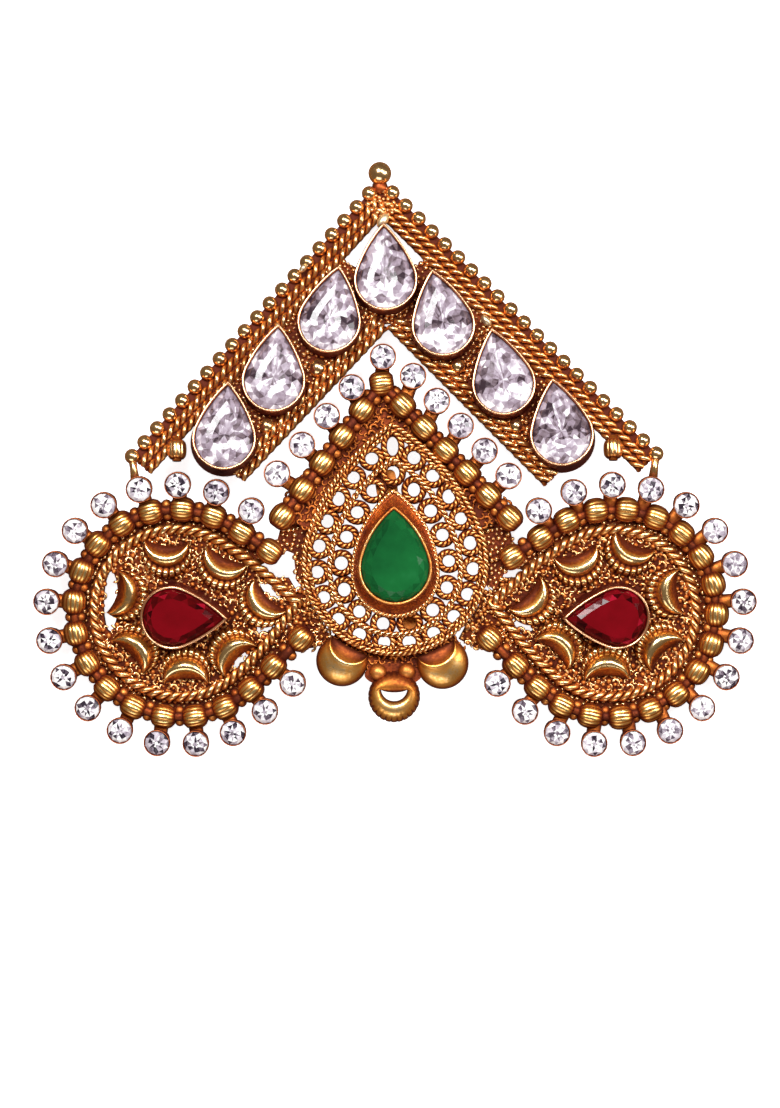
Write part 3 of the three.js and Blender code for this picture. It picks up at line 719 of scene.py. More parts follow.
# ---- Crest: solder, granules and posts ----
# Small balls fill the corners between the settings, and a fluted post runs down from each end
# of the crest. Pale blobs of solder show at three setting tips. Gold plate.
GRANULES = rows_of(
    "at radius",
    ((-8.65, 10.15), 1.0),
    ((-14.3, 3.7), 0.85),
    ((7.0, 10.4), 0.85),
    ((13.5, 3.7), 0.85))
BLOBS = rows_of(
    "at wide deep turn",
    ((-1.35, 26.7), 1.1, 1.9, -35),
    ((10.2, 15.4), 0.9, 1.5, 40),
    ((-10.3, 21.3), 0.7, 1.1, -40))
BLOB_Z = dict(middle=0.9, half=0.55)
SOLDER_TONES = [(0.0, (1.0, 0.86, 0.6)), (0.5, (0.85, 0.6, 0.3)), (1.0, (0.4, 0.18, 0.06))]
POSTS = [(-24.3, 1.0), (24.3, 1.1)]
POST = dict(radius=1.1, half_length=1.05, flutes=12, depth=0.08)
POST_NECK = [(0.5, -1.3, 0.5), (0.6, 0.0, 0.8), (0.6, 1.5, 0.5)]
END_STEM = dict(out=0.35, down=2.6, radius=0.52)
FLUTE = [(0.0, 1.0), (0.13, 0.25), (0.5, 0.0), (0.87, 0.25)]   # part of a flute, how sunk it is

for number, row in enumerate(GRANULES):
    grain = ball(row["radius"], 24, 14).moved(to_place(crest_point(row["at"])))
    grain.piece(f"granule_{number + 1}", "crest_frame", on_crest, bright_gold)

solder = gold("pale_solder", tones=SOLDER_TONES, age=0.1, shine=0.3, grain=0.8)
blobs = Form()
for row in BLOBS:
    spread = to_place(crest_point(row["at"]), BLOB_Z["middle"]) @ turn_by(row["turn"])
    spread @= Matrix.Diagonal((row["wide"] / 2, row["deep"] / 2, BLOB_Z["half"], 1.0))
    blobs += ball(1.0, 20, 12).moved(spread)
blobs.piece("solder_blobs", "crest_frame", on_crest, solder)


def rounded(radius, half, power):
    """The radius along a bead, rounded off towards its ends."""
    return lambda x: radius * (1 - (abs(x) / half) ** power) ** (1 / power)


def fluted(radius_at, half_length, flutes, depth, steps):
    """A form along X with rounded ribs lengthwise. Its grooves and its ends are recessed."""
    rings, recess = [], []
    for i in range(steps + 1):
        x = half_length * (2 * i / steps - 1)
        end = (abs(x) / half_length) ** 4
        rings.append([])
        for k in range(flutes):
            for part, sunk in FLUTE:
                angle = 2 * math.pi * (k + part) / flutes
                out = radius_at(x) * (1 - depth * sunk)
                rings[-1].append((x, out * math.cos(angle), out * math.sin(angle)))
                recess.append(min(1.0, sunk * (0.7 - 0.3 * end) + 0.55 * end))
    form = loft(rings, [])
    form.recess = recess
    return form


post = fluted(rounded(POST["radius"], 1.2, 3), POST["half_length"], POST["flutes"], POST["depth"], 8)
post_neck = turned(POST_NECK, 12)
posts = Form()
for at in POSTS:
    upright = to_place(crest_point(at), POST["radius"]) @ turn_by(90)
    posts += post.moved(upright) + post_neck.moved(upright @ turn_by(90, "Y"))
posts.piece("crest_posts", "crest_frame", on_crest, bright_gold)

end_stems = Form()
for arm in ARMS:
    along = Vector((-arm["side"] * END_STEM["out"], -END_STEM["down"], 0))
    stem = turned([(END_STEM["radius"], 0.0, 0.3), (END_STEM["radius"] * 0.8, along.length / 2, 0.1),
                   (END_STEM["radius"], along.length, 0.3)], 10)
    lie = along.to_track_quat("Z", "Y").to_matrix().to_4x4()
    end_stems += stem.moved(to_place(arm["stop"], BALL_RADIUS) @ lie)
end_stems.piece("crest_end_stems", "crest_frame", on_crest, bright_gold)


# ---- Clear stones ----
# Seven pear-cut crystals of clear glass with a foil behind. The white, lilac and grey flashes of
# their facets are painted reflections on an opaque surface. Each is held by its setting's edge.
STONE_EDGE = 0.34
STONE_SIDES = 20
STONE_BELLY = 0.9                # how far the belly goes down under the girdle
STONE_DOWN = 0.55                # how far the girdle lies under the wall's top
CRYSTAL_ROWS = [(0.0, 0.0, 0.0), (0.6, 0.35, 0.5), (1.15, 0.58, 0.0), (1.9, 0.6, 0.5), (2.6, 0.57, 0.0)]
# Colours of painted reflection, from dark facets to white flashes.
CRYSTAL_TONES = [
    (0.0, (0.04, 0.025, 0.035)),
    (0.2, (0.15, 0.11, 0.13)),
    (0.45, (0.30, 0.24, 0.30)),
    (0.7, (0.49, 0.43, 0.51)),
    (0.9, (0.92, 0.91, 0.95)),
    (1.0, (1.0, 1.0, 1.0)),
]


def zigzag(rings, shifts):
    """Rings of points joined by facets, which lean with the shift from ring to ring."""
    count = len(rings[0])
    form = Form([point for ring in rings for point in ring])
    for ring, (shift, after) in enumerate(zip(shifts, shifts[1:])):
        for k in range(count):
            a, b = ring * count + k, ring * count + (k + 1) % count
            c, d = a + count, b + count
            form.faces += [(a, b, c), (b, d, c)] if after >= shift else [(a, b, d), (a, d, c)]
    return form


def facets(pear, girdle, rows, count, dice, low, high, table=None):
    """A pear stone: zigzag rings of facets over a plain belly, each facet with its own tone of painted
    reflection.
    """
    rings = []
    for by, up, shift in [(0.0, -STONE_BELLY, 0.0), *rows]:
        fine = pear.inset(STONE_EDGE + by).outline(count * 8)
        rings.append([Vector((*fine[int((k + shift) * 8) % len(fine)], girdle + up)) for k in range(count)])
    form = zigzag(rings, [0.0, *(row[2] for row in rows)])
    last = len(form.points) - count
    form.points.append(sum(rings[-1], Vector()) / count)
    form.faces += [(last + k, last + (k + 1) % count, last + count) for k in range(count)]
    form.faces.append(tuple(reversed(range(count))))
    form.tones = [dice.uniform(low, high) for _ in form.faces]
    if table is not None:
        form.tones[-count - 1:] = [table] * (count + 1)
    return form


def jewel(name, tones, clouds, speed, own=0.3, gleam=0.5, shards=0.0):
    """Glass over foil: each facet's own tone of painted reflection, broken by clouds or by sharp shards of
    painted light inside.
    """
    finish, start, place = begun(name)
    facet, stone = own_value(start, "facet"), own_value(start, "tone")
    spot = start.node("ShaderNodeCombineXYZ", sockets={"X": facet * 91.7, "Y": stone * 37.3})
    chance = start.node("ShaderNodeTexWhiteNoise", {"noise_dimensions": "2D"}, {"Vector": spot}, out="Value")
    cloud = noise(start, place, speed, 3.0)
    shard = start.node("ShaderNodeSeparateXYZ", sockets={0: start.node(
        "ShaderNodeTexVoronoi", sockets={"Vector": place, "Scale": speed}, out="Color")}, out="X")
    # The colour is painted reflection: the facet's tone, a random step per facet and stone, clouds and
    # shards.
    tone = (facet + (chance - 0.5) * own + (cloud - 0.5) * clouds + (shard - 0.5) * shards).clamped()
    coated(start, Base_Color=start.node("ShaderNodeValToRGB", {"stops": tones}, {"Fac": tone}),
           Metallic=0.0, Roughness=0.06 + cloud * 0.04, Specular_IOR_Level=gleam)
    return finish


def painted_foil_light(middle):
    """How bright the foil is painted in a clear stone: darker in a bow across it, and brighter below."""
    bow = 0.4 * math.exp(-4 * (middle.y - 0.3) ** 2) * min(1.0, abs(middle.x) / 0.8)
    return (0.75 if middle.y < -0.4 else 0.5) - bow


crystal = jewel("clear_crystal", CRYSTAL_TONES, clouds=0.7, speed=1250.0, own=0.0, shards=0.6)
for number, place in enumerate(clear_places):
    dice = random.Random(40 + number)
    stone = facets(clear_pear, CLEAR_WALL - STONE_DOWN, CRYSTAL_ROWS, STONE_SIDES, dice, -0.2, 0.2)
    # Each side of the stone gets a random step of painted flash, on top of the foil's painted light and each
    # facet's random tone.
    wedges = [dice.uniform(-0.22, 0.22) for _ in range(STONE_SIDES)]
    for i, face in enumerate(stone.faces):
        middle = sum((stone.points[corner] for corner in face), Vector()) / len(face)
        tone = painted_foil_light(middle) + wedges[i // 2 % STONE_SIDES] + stone.tones[i]
        stone.tones[i] = min(1.0, max(0.0, tone))
    stone.piece(f"clear_stone_{number + 1}_cut", f"clear_stone_{number + 1}", on_crest @ place, crystal,
                smooth=False, slot="clear_glass")


# ---- Centre row: fluted beads ----
# A chevron of fluted round beads stands between the crest and the centre panel. The beads are
# strung on a wire, with a small ball soldered in the angle between each two. Gold plate.
MELON = dict(radius=1.42, half_length=1.36, flutes=15, depth=0.045, height=1.3)
THREAD = [(0.0, 0.55, 0.45), (1.0, 0.55, 0.45)]         # part of the way, half width, recess
SOLDER_BALL = dict(radius=0.6, beside=0.6, down=1.0)
ROW_TOP = (-1.5, 8.4)
ROW_ARMS = rows_of("end beads", ((-12.55, -6.5), 5), ((12.75, -6.65), 6))
BEAD_TONES = [
    (0.0, (1.0, 0.76, 0.36)),
    (0.15, (0.92, 0.52, 0.15)),
    (0.35, (0.66, 0.24, 0.04)),
    (0.65, (0.36, 0.075, 0.012)),
    (1.0, (0.13, 0.012, 0.005)),
]

# Strong painted shade on the beads' sides leaves a lit band along their tops.
bead_gold = gold("fluted_gold", tones=BEAD_TONES, age=-0.06, shine=0.22, grain=0.2, patches=0.6, side_shade=0.95)
melon = fluted(rounded(MELON["radius"], 1.5, 2.4), MELON["half_length"], MELON["flutes"], MELON["depth"], 10)
melon = melon.moved(to_place((0, 0), MELON["height"]))
grain_ball = ball(1.0, 12, 7)


def beside(start, stop):
    along = (stop - start).normalized()
    return Vector((along.y, -along.x))


def bar_between(start, stop, rows, z, sides, tall=None):
    """A round bar from rows of part of the way, half width and recess."""
    across = beside(start, stop)
    rings = [[(*(start.lerp(stop, way) + across * (half * x)), z + (tall or half) * y)
              for x, y in around(sides)] for way, half, _ in rows]
    return loft(rings, [row[2] for row in rows])


def strung(name, node, place, row):
    """A row of beads with their wire, and a small ball on each side between two beads."""
    seats, balls, threads = [], [], Form()
    for i, at in enumerate(row):
        along = row[min(i + 1, len(row) - 1)] - row[max(i - 1, 0)]
        seats.append(seat(at, turn=math.atan2(along.y, along.x) + 0.02 * (i % 3)))
    for here, after in zip(row, row[1:]):
        for out in (-SOLDER_BALL["beside"], SOLDER_BALL["beside"]):
            balls.append(seat((here + after) / 2 + beside(here, after) * out,
                              MELON["height"] - SOLDER_BALL["down"], size=(SOLDER_BALL["radius"],) * 3))
        threads += bar_between(here, after, THREAD, MELON["height"], 10)
    set_out(name + "_beads", node, place, bead_gold, melon, seats)
    set_out(name + "_solder", node, place, deep_gold, grain_ball, balls)
    threads.piece(name + "_thread", node, place, deep_gold)


row_top = crest_point(ROW_TOP)
row_halves = [[row_top.lerp(crest_point(arm["end"]), i / arm["beads"]) for i in range(arm["beads"] + 1)]
              for arm in ROW_ARMS]
bead_row = [*reversed(row_halves[0]), *row_halves[1][1:]]
strung("row", "centre_bead_row", on_crest, bead_row)


# ---- Centre row: stones in cups ----
# Round glass stones in turned cups stand outside the beads, one to a bead, each joined to its
# bead by a short bar. Thin copper-coloured cup walls, round brilliant-cut clear glass.
CUP_ROWS = rows_of(
    "first last count",
    ((-1.35, 11.1), (-1.35, 11.1), 1),
    ((-4.82, 7.68), (-13.1, -1.95), 4),
    ((2.0, 8.95), (12.6, -2.2), 5))
# Rows of radius, height and recess. The last two rows, the inside of the wall round the stone, are painted
# dark as shade.
CUP_PROFILE = [
    (1.05, 0.0, 0.8), (1.1, 0.7, 0.8), (1.24, 1.3, 0.7), (1.42, 1.9, 0.6), (1.48, 2.4, 0.5),
    (1.5, 2.85, 0.3), (1.47, 2.94, 0.1), (1.41, 2.94, 0.1), (1.38, 2.84, 1.0), (1.36, 2.5, 1.0)]
CHATON_ROWS = [(1.37, 2.5, 0.0), (1.37, 2.7, 0.0), (0.98, 2.96, 0.5), (0.46, 3.07, 0.0), (0.2, 3.08, 0.5)]
# Facet tones of painted reflection, light and dark.
CHATON_TONES = [1.0, 0.1, 0.85, 0.5, 0.95, 0.0, 0.7, 1.0, 0.3, 0.9]
CHATON_COLOURS = [
    (0.0, (0.025, 0.018, 0.03)),
    (0.25, (0.12, 0.09, 0.12)),
    (0.45, (0.34, 0.29, 0.36)),
    (0.7, (0.62, 0.57, 0.64)),
    (0.9, (1.0, 1.0, 1.0)),
]
BAR = [(0.0, 1.05, 0.5), (0.35, 0.82, 0.25), (0.65, 0.8, 0.25), (1.0, 1.1, 0.7)]
BAR_Z = dict(middle=1.05, half=0.62)


def chaton(count=10, seed=7):
    """A round stone: zigzag rings of facets round a small table, painted light and dark by turns as
    reflections.
    """
    dice = random.Random(seed)
    form = zigzag([[Vector((radius * x, radius * y, height)) for x, y in around(count, shift)]
                   for radius, height, shift in CHATON_ROWS], [row[2] for row in CHATON_ROWS])
    form.tones = [dice.choice(CHATON_TONES) for _ in form.faces] + [0.6, 0.5]
    form.faces += [tuple(range(len(form.points) - count, len(form.points))), tuple(reversed(range(count)))]
    return form


rim_gold = gold("cup_gold", tones=ROSE_TONES, age=0.42, shine=0.25, grain=0.1, patches=0.25)
chaton_glass = jewel("chaton_glass", CHATON_COLOURS, clouds=0.5, speed=3200.0, own=0.8, gleam=0.35)
cup_dice = random.Random(5)


def cups(name, node, place, pairs):
    """Cups with their stones, and the short bars that join them to what they stand beside."""
    seats = [seat(at, turn=cup_dice.uniform(0, 6), tone=cup_dice.random()) for _, at in pairs]
    set_out(name + "_cups", node, place, rim_gold, turned(CUP_PROFILE, 22), seats)
    set_out(name + "_chatons", node, place, chaton_glass, chaton(), seats, smooth=False, slot="clear_glass")
    bars = all_of(bar_between(start, stop, BAR, BAR_Z["middle"], 12, BAR_Z["half"]) for start, stop in pairs)
    bars.piece(name + "_bars", node, place, old_gold)


row_pairs = []
for row in CUP_ROWS:
    for i in range(row["count"]):
        at = crest_point(row["first"]).lerp(crest_point(row["last"]), i / max(1, row["count"] - 1))
        row_pairs.append((min(bead_row, key=lambda bead: (bead - at).length), at))
cups("row", "centre_bead_row", on_crest, row_pairs)


# ---- Centre row: ground ----
# A sheet behind the beads reaches down to the panel, with a small one in each corner below it.
# Bits of curled wire and grains are soldered all over them. Dark red gold.
PANEL_Y = -11.4
PANEL_TURN = 1.2                 # degrees
PANEL_OUTLINE = Pear(20.9, 26.2, 1.15)
ROW_SHEET = dict(under=0.7, foot=-8.2, beside=0.9, over=0.6, top=0.9)     # foot: the lowest Y
ROW_CORNERS = [
    [(-9.6, -6.6), (-12.6, -6.8), (-13.3, -9.6), (-11.3, -10.4), (-11.0, -13.4), (-10.2, -14.2),
     (-9.6, -12.0)],
    [(9.6, -6.6), (12.6, -6.8), (13.3, -9.6), (12.3, -12.4), (11.2, -14.4), (9.8, -13.8)],
]
CORNER_DOWN = 0.55
SCROLL = dict(radius=0.4, wire=0.15, turn=230, steps=7)

on_back = millimetres @ to_place((0, -MIDDLE_Y))
panel_edge = [turn_by(PANEL_TURN) @ at.to_3d() for at in PANEL_OUTLINE.inset(ROW_SHEET["under"]).outline(96)]
panel_edge = [crest_point((at.x, at.y + PANEL_Y)) for at in panel_edge if at.y + PANEL_Y > ROW_SHEET["foot"]]
half = next(i for i, at in enumerate(panel_edge) if at.x > 0)
row_sheet = cut_plate("row_ground", "centre_bead_row", on_crest, [
    bead_row[0] + Vector((-ROW_SHEET["beside"], ROW_SHEET["over"])), row_top + Vector((0, ROW_SHEET["top"])),
    bead_row[-1] + Vector((ROW_SHEET["beside"], ROW_SHEET["over"])), *panel_edge[half:], *panel_edge[:half]])


def bent_scroll():
    """A bit of wire bent into an open curl, lying on the plane."""
    rings, wire = [], SCROLL["wire"]
    for i in range(SCROLL["steps"] + 1):
        angle = math.radians(SCROLL["turn"]) * i / SCROLL["steps"]
        out = Vector((math.cos(angle), math.sin(angle), 0))
        curl = SCROLL["radius"] * (1 - 0.5 * i / SCROLL["steps"])
        rings.append([out * (curl + wire * x) + Vector((0, 0, wire * (0.6 + y))) for x, y in around(5)])
    return loft(rings, [0.1] * len(rings))


scroll = bent_scroll()
granulate("row_scrolls", "centre_bead_row", deep_gold, row_sheet, 0.55, 2, scroll)
for number, corner in enumerate(ROW_CORNERS):
    corner_sheet = cut_plate(f"row_corner_{number + 1}", "centre_bead_row",
                             on_back @ to_place((0, 0), PANEL_BACK - CORNER_DOWN), corner)
    granulate(f"row_corner_granulation_{number + 1}", "centre_bead_row", wire_gold, corner_sheet, 0.5, seed=5)


# ---- Centre panel: filigree ----
# The pear-shaped panel is open filigree. Rings of twisted wire stand side by side in two bands,
# between an edge of two twisted wires and a middle wire. Gold plate, worn bright on top, with
# painted shade strong on the rings' sides.
MIDDLE_PEAR = Pear(width=15.1, length=20.1, fullness=1.1, below=8.25)
PANEL_WIRES = rows_of(
    "name pear inset z finish radius lay",
    ("panel_edge_wire_1", PANEL_OUTLINE, 0.32, 0.9, wire_gold, 0.33, 0.62),
    ("panel_edge_wire_2", PANEL_OUTLINE, 0.92, 0.75, wire_gold, 0.3, 0.6),
    ("panel_middle_wire", MIDDLE_PEAR, 0.25, 1.2, bright_gold, 0.36, 0.66))
RING_BANDS = rows_of(
    "rings pear",
    (21, Pear(width=17.4, length=22.3, fullness=1.1, below=8.95)),
    (15, Pear(width=12.1, length=16.95, fullness=1.15, below=6.95)))
BAND_STEPS = 480
RING = dict(radius=1.06, z=0.95, wire=0.36, lay=0.56)
RING_LONG, RING_WIDE = (0.92, 1.1), (0.94, 1.04)        # how uneven the rings are
TOP_RING = dict(long=1.5, wide=0.9, down=0.4)           # the topmost ring is drawn out
RING_FOOT = [(0.7, 0.0, 0.9), (1.5, 0.0, 0.9), (1.5, 0.8, 0.9), (0.7, 0.8, 0.9)]

on_panel = millimetres @ to_place((0, PANEL_Y - MIDDLE_Y), PANEL_BACK) @ turn_by(PANEL_TURN)


def pear_wire(name, pear, inset, z, finish, radius, lay):
    """A twisted wire laid round a pear."""
    route = [(at.x, at.y, z) for at in pear.inset(inset).outline(160)]
    twisted(name, "centre_panel", on_panel, finish, [route], radius, lay)


def oval(middle, half_wide, half_deep, count):
    return [Vector((middle[0] + half_wide * x, middle[1] + half_deep * y)) for x, y in around(count)]


for row in PANEL_WIRES:
    pear_wire(**row)

ring_routes, foot_seats = [], []
ring_dice = random.Random(8)
for band in RING_BANDS:
    line = band["pear"].outline(BAND_STEPS)
    for i in range(band["rings"]):
        at = line[round(i / band["rings"] * BAND_STEPS)]
        stretch, squeeze = ring_dice.uniform(*RING_LONG), ring_dice.uniform(*RING_WIDE)
        if not ring_routes:
            at = at - Vector((0, TOP_RING["down"]))
            stretch, squeeze = TOP_RING["long"], TOP_RING["wide"]
        bent = oval(at, squeeze * RING["radius"], stretch * RING["radius"], 24)
        ring_routes.append([(*point, RING["z"]) for point in bent])
        foot_seats.append(seat(at, size=(squeeze, stretch, 1.0)))
ring_gold = gold("ring_gold", age=0.2, shine=0.22, grain=0.5, patches=2.2, side_shade=0.9)
twisted("panel_rings", "centre_panel", on_panel, ring_gold, ring_routes, RING["wire"], RING["lay"])
set_out("panel_ring_feet", "centre_panel", on_panel, dark_gold, turned(RING_FOOT, 20, loop=True),
        foot_seats, smooth=False)
wire_feet = pear_loft([(PANEL_OUTLINE, [
    (0.15, 0.0, 1.0), (1.15, 0.0, 1.0), (1.15, 0.65, 0.9), (0.15, 0.65, 0.9)])], 96, loop=True)
wire_feet += pear_loft([(MIDDLE_PEAR, [
    (0.0, 0.0, 1.0), (0.5, 0.0, 1.0), (0.5, 0.9, 0.9), (0.0, 0.9, 0.9)])], 96, loop=True)
wire_feet.piece("panel_wire_feet", "centre_panel", on_panel, dark_gold, smooth=False)


# ---- Centre panel: collar and setting ----
# A raised twisted wire and a sloping collar lead up to the box of the green stone. The collar is
# deep red gold, the box's rim is thin and bright.
COLLAR_PEAR = Pear(width=9.9, length=14.4, fullness=1.2, below=6.15)
GREEN_PEAR = Pear(width=8.2, length=11.0, fullness=1.3, below=4.7)
GREEN_WALL = 3.9

collar_gold = gold("collar_gold", age=0.3, shine=0.26, grain=1.0, patches=2.0, side_shade=0.25)
collar = pear_loft([
    (COLLAR_PEAR, [
        (0.0, 0.5, 1.0), (0.0, 1.4, 0.3), (0.12, 1.68, 0.0),
        (0.32, 1.7, 0.1), (0.46, 1.5, 0.6), (0.6, 1.62, 0.35)]),
    (GREEN_PEAR, [
        (-0.3, 2.1, 0.3), (-0.1, 2.8, 0.35), (0.0, 3.3, 0.3), (0.0, GREEN_WALL - 0.15, 0.05),
        (0.08, GREEN_WALL, 0.0), (0.24, 3.88, 0.0), (0.34, 3.7, 0.4), (0.4, 2.6, 1.0)])], 72)
collar.piece("green_setting", "centre_panel", on_panel, collar_gold)
pear_wire("collar_wire", COLLAR_PEAR, inset=0.22, z=1.55, finish=bright_gold, radius=0.24, lay=0.5)


# ---- Green stone ----
# A pear-cut green glass stone, cloudy like emerald, with a wide table. Its crown is cut in narrow
# facets, each a little lighter or darker as painted reflection, and the table is a little paler,
# with milky clouds.
COLOURED_SIDES = 18
COLOURED_DOWN = 0.3              # how far the girdle lies under the wall's top
EMERALD_ROWS = [(0.0, 0.0, 0.0), (0.5, 0.5, 0.5), (1.1, 0.9, 0.0)]
EMERALD_TONES = [
    (0.0, (0.001, 0.012, 0.004)),
    (0.35, (0.004, 0.05, 0.014)),
    (0.65, (0.008, 0.115, 0.028)),
    (0.85, (0.02, 0.17, 0.055)),
    (1.0, (0.12, 0.3, 0.17)),
]

emerald = jewel("emerald_glass", EMERALD_TONES, clouds=0.7, speed=240.0, own=0.08, gleam=0.12)
emerald_cut = facets(GREEN_PEAR, GREEN_WALL - COLOURED_DOWN, EMERALD_ROWS, COLOURED_SIDES,
                     random.Random(3), 0.48, 0.64, table=0.6)
emerald_cut.piece("green_stone_cut", "green_stone", on_panel, emerald, smooth=False, slot="green_glass")


# ---- Lobes: ground ----
# Each side lobe is a round plate drawn out to a point towards the middle, cut through at a few
# places. A thick two-strand rope runs round it. Dark red gold, rough in its hollows.
LOBE_MIDDLE = dict(x=24.15, y=-16.9, z=2.97)
LOBE_OUTWARD = 7                 # degrees that a lobe leans back
LOBE_DOWNWARD = 8
LOBE_EDGE = dict(radius=9.95, reach=13.6, point=6)
LOBE_HALF = math.degrees(math.acos(LOBE_EDGE["radius"] / LOBE_EDGE["reach"]))
LOBE_BACK = 0.8
GROUND_INSET = 0.5
STRAIGHT_STEPS = 12
LOBE_GAPS = {
    "left": rows_of(
        "angle radius long wide turn",
        (172, 7.75, 6.9, 1.7, 88),
        (14, 10.6, 3.2, 1.3, -40),
        (-9, 10.2, 3.4, 1.4, 22),
        (-38, 8.75, 2.8, 1.0, 49)),
    "right": rows_of("angle radius long wide turn", (-7, 10.1, 2.7, 1.2, 28)),
}
# The sheet that joins a lobe's point to the panel: how far towards it, and up.
TIP_SHEET_EDGE = [
    (13.25, 2.7), (14.4, 2.6), (15.0, 0.9), (16.5, -1.4), (17.2, -2.7), (15.4, -3.7), (13.2, -4.0),
    (11.6, -3.2), (12.6, -0.3), (12.7, 1.4), (11.0, 2.6), (10.8, 4.1), (12.4, 4.1)]
LOBE_ROPE = dict(inset=0.47, z=1.0, radius=0.64, lay=1.05)
ROPE_SPREAD = dict(by=0.5, full=25, none=52)    # the rope runs further out near the point

SIDES = rows_of("name side toward", ("left", -1, 1), ("right", 1, -1))
for side in SIDES:
    middle = (side["side"] * LOBE_MIDDLE["x"], LOBE_MIDDLE["y"] - MIDDLE_Y)
    lean = turn_by(LOBE_DOWNWARD, "X") @ turn_by(side["side"] * LOBE_OUTWARD, "Y")
    side["place"] = millimetres @ to_place(middle, LOBE_MIDDLE["z"]) @ lean


def evenly(first, last, count):
    return [first + (last - first) * i / (count - 1) for i in range(count)]


def in_lobe(side, angle, radius):
    """A place by its angle from the way the lobe points, and its distance from the middle."""
    turn = math.radians(angle)
    return Vector((side["toward"] * radius * math.cos(turn), radius * math.sin(turn)))


def from_point(angle):
    return abs((angle - LOBE_EDGE["point"] + 180) % 360 - 180)


def on_ring(side, angle, radius, half=LOBE_HALF):
    """A place on a ring round the lobe: a circle that runs out straight to a point."""
    away = from_point(angle)
    return in_lobe(side, angle, radius if away >= half else radius / math.cos(math.radians(half - away)))


def lobe_outline(side):
    radius = LOBE_EDGE["radius"] - GROUND_INSET
    start = LOBE_EDGE["point"] + LOBE_HALF
    curve = [in_lobe(side, angle, radius) for angle in evenly(start, start + 360 - 2 * LOBE_HALF, 91)]
    tip = in_lobe(side, LOBE_EDGE["point"], radius * LOBE_EDGE["reach"] / LOBE_EDGE["radius"])
    parts = [i / STRAIGHT_STEPS for i in range(1, STRAIGHT_STEPS)]
    return [tip, *[tip.lerp(curve[0], part) for part in parts], *curve,
            *[curve[-1].lerp(tip, part) for part in parts]]


def gap_outline(side, gap):
    at, lean = in_lobe(side, gap["angle"], gap["radius"]), in_lobe(side, gap["turn"], 1)
    across = Vector((-lean.y, lean.x))
    return [at + lean * (gap["long"] / 2 * x) + across * (gap["wide"] / 2 * y) for x, y in around(18)]


def rope_route(side, steps=150):
    """The rope's middle line: along the lobe's edge, and spread outwards towards the point."""
    route = []
    for i in range(steps):
        angle = LOBE_EDGE["point"] + 360 * i / steps
        spread = (ROPE_SPREAD["none"] - from_point(angle)) / (ROPE_SPREAD["none"] - ROPE_SPREAD["full"])
        radius = LOBE_EDGE["radius"] - LOBE_ROPE["inset"] + ROPE_SPREAD["by"] * min(1.0, max(0.0, spread))
        route.append((*on_ring(side, angle, radius), LOBE_ROPE["z"]))
    return route


for side in SIDES:
    node, place = side["name"] + "_lobe", side["place"]
    gaps = [gap_outline(side, gap) for gap in LOBE_GAPS[side["name"]]]
    ground = cut_plate(node + "_ground", node, place, lobe_outline(side), LOBE_BACK, gaps)
    granulate(node + "_granulation", node, deep_gold, ground, 0.66, seed=4)
    granulate(node + "_scrolls", node, wire_gold, ground, 0.72, 6, scroll)
    tip_edge = [(side["toward"] * x, y) for x, y in TIP_SHEET_EDGE]
    tip_sheet = cut_plate(node + "_tip", node, place, tip_edge, LOBE_BACK * 0.7)
    granulate(node + "_tip_granulation", node, old_gold, tip_sheet, 0.5, seed=5)
    granulate(node + "_tip_scrolls", node, wire_gold, tip_sheet, 0.7, 6, scroll)
    twisted(node + "_rope", node, place, wire_gold, [rope_route(side)], LOBE_ROPE["radius"], LOBE_ROPE["lay"])


# ---- Lobes: moons ----
# Seven stamped moons stand round each red stone with their horns outwards. Each is domed, milled
# along its round edge and scooped out between its horns. Polished gold, with painted shade making
# the scoop red-brown and darkening the horns, and a painted highlight along the ridge.
MOON = dict(radius=2.85, horn=30, hollow=0.6, height=2.1)
MOON_RIBS = 15
MOON_STEPS = 120
MOON_SEATS = {
    "left": rows_of(
        "angle radius opens",
        (8, 9.7, 45), (47, 7.5, 66), (100, 6.9, 88), (162, 6.3, 164), (221, 6.3, 224),
        (278, 6.6, 272), (325.5, 7.6, 315)),
    "right": rows_of(
        "angle radius opens",
        (10, 9.2, 45), (56, 7.0, 74), (105, 7.25, 117), (161, 6.8, 173), (216, 6.6, 228),
        (276, 6.2, 270), (330, 7.0, 312)),
}
# Rows of way across, part of the height, recess and ribs. The recess paints the light: below zero it is a
# painted highlight along the ridge and the rib tops, and high it is painted shade in the groove and the
# scoop.
MOON_SECTION = [
    (0.0, 0.0, 1.0, 0), (0.0, 0.3, 0.8, 0), (0.02, 0.5, 0.3, 1), (0.07, 0.66, 0.0, 1),
    (0.16, 0.74, -0.1, 1), (0.24, 0.7, 0.0, 1), (0.29, 0.6, 0.5, 1), (0.33, 0.56, 0.95, 0),
    (0.38, 0.66, 0.5, 0), (0.45, 0.86, 0.1, 0), (0.53, 0.97, -0.1, 0), (0.62, 1.0, -0.15, 0),
    (0.70, 0.93, 0.05, 0), (0.79, 0.77, 0.5, 0), (0.89, 0.6, 0.85, 0), (1.0, 0.5, 0.9, 0),
    (1.0, 0.0, 1.0, 0)]
# Painted light: a moon's scoop is painted darker by this much if it opens upwards, and lighter if it opens
# downwards.
UPWARD_SCOOP_SHADE = 0.16                   # how much darker the hollow of a moon that opens upwards is
STAMPED_TONES = [
    (0.0, (1.0, 0.75, 0.38)),
    (0.22, (0.82, 0.42, 0.11)),
    (0.48, (0.62, 0.22, 0.032)),
    (0.75, (0.30, 0.064, 0.009)),
    (1.0, (0.13, 0.020, 0.004)),
]


def between_ribs(turn):
    """How deep a milled edge is cut: 0 on a rib, and 1 between two."""
    return 1 - min(1.0, 1.6 * abs(math.sin(turn)))


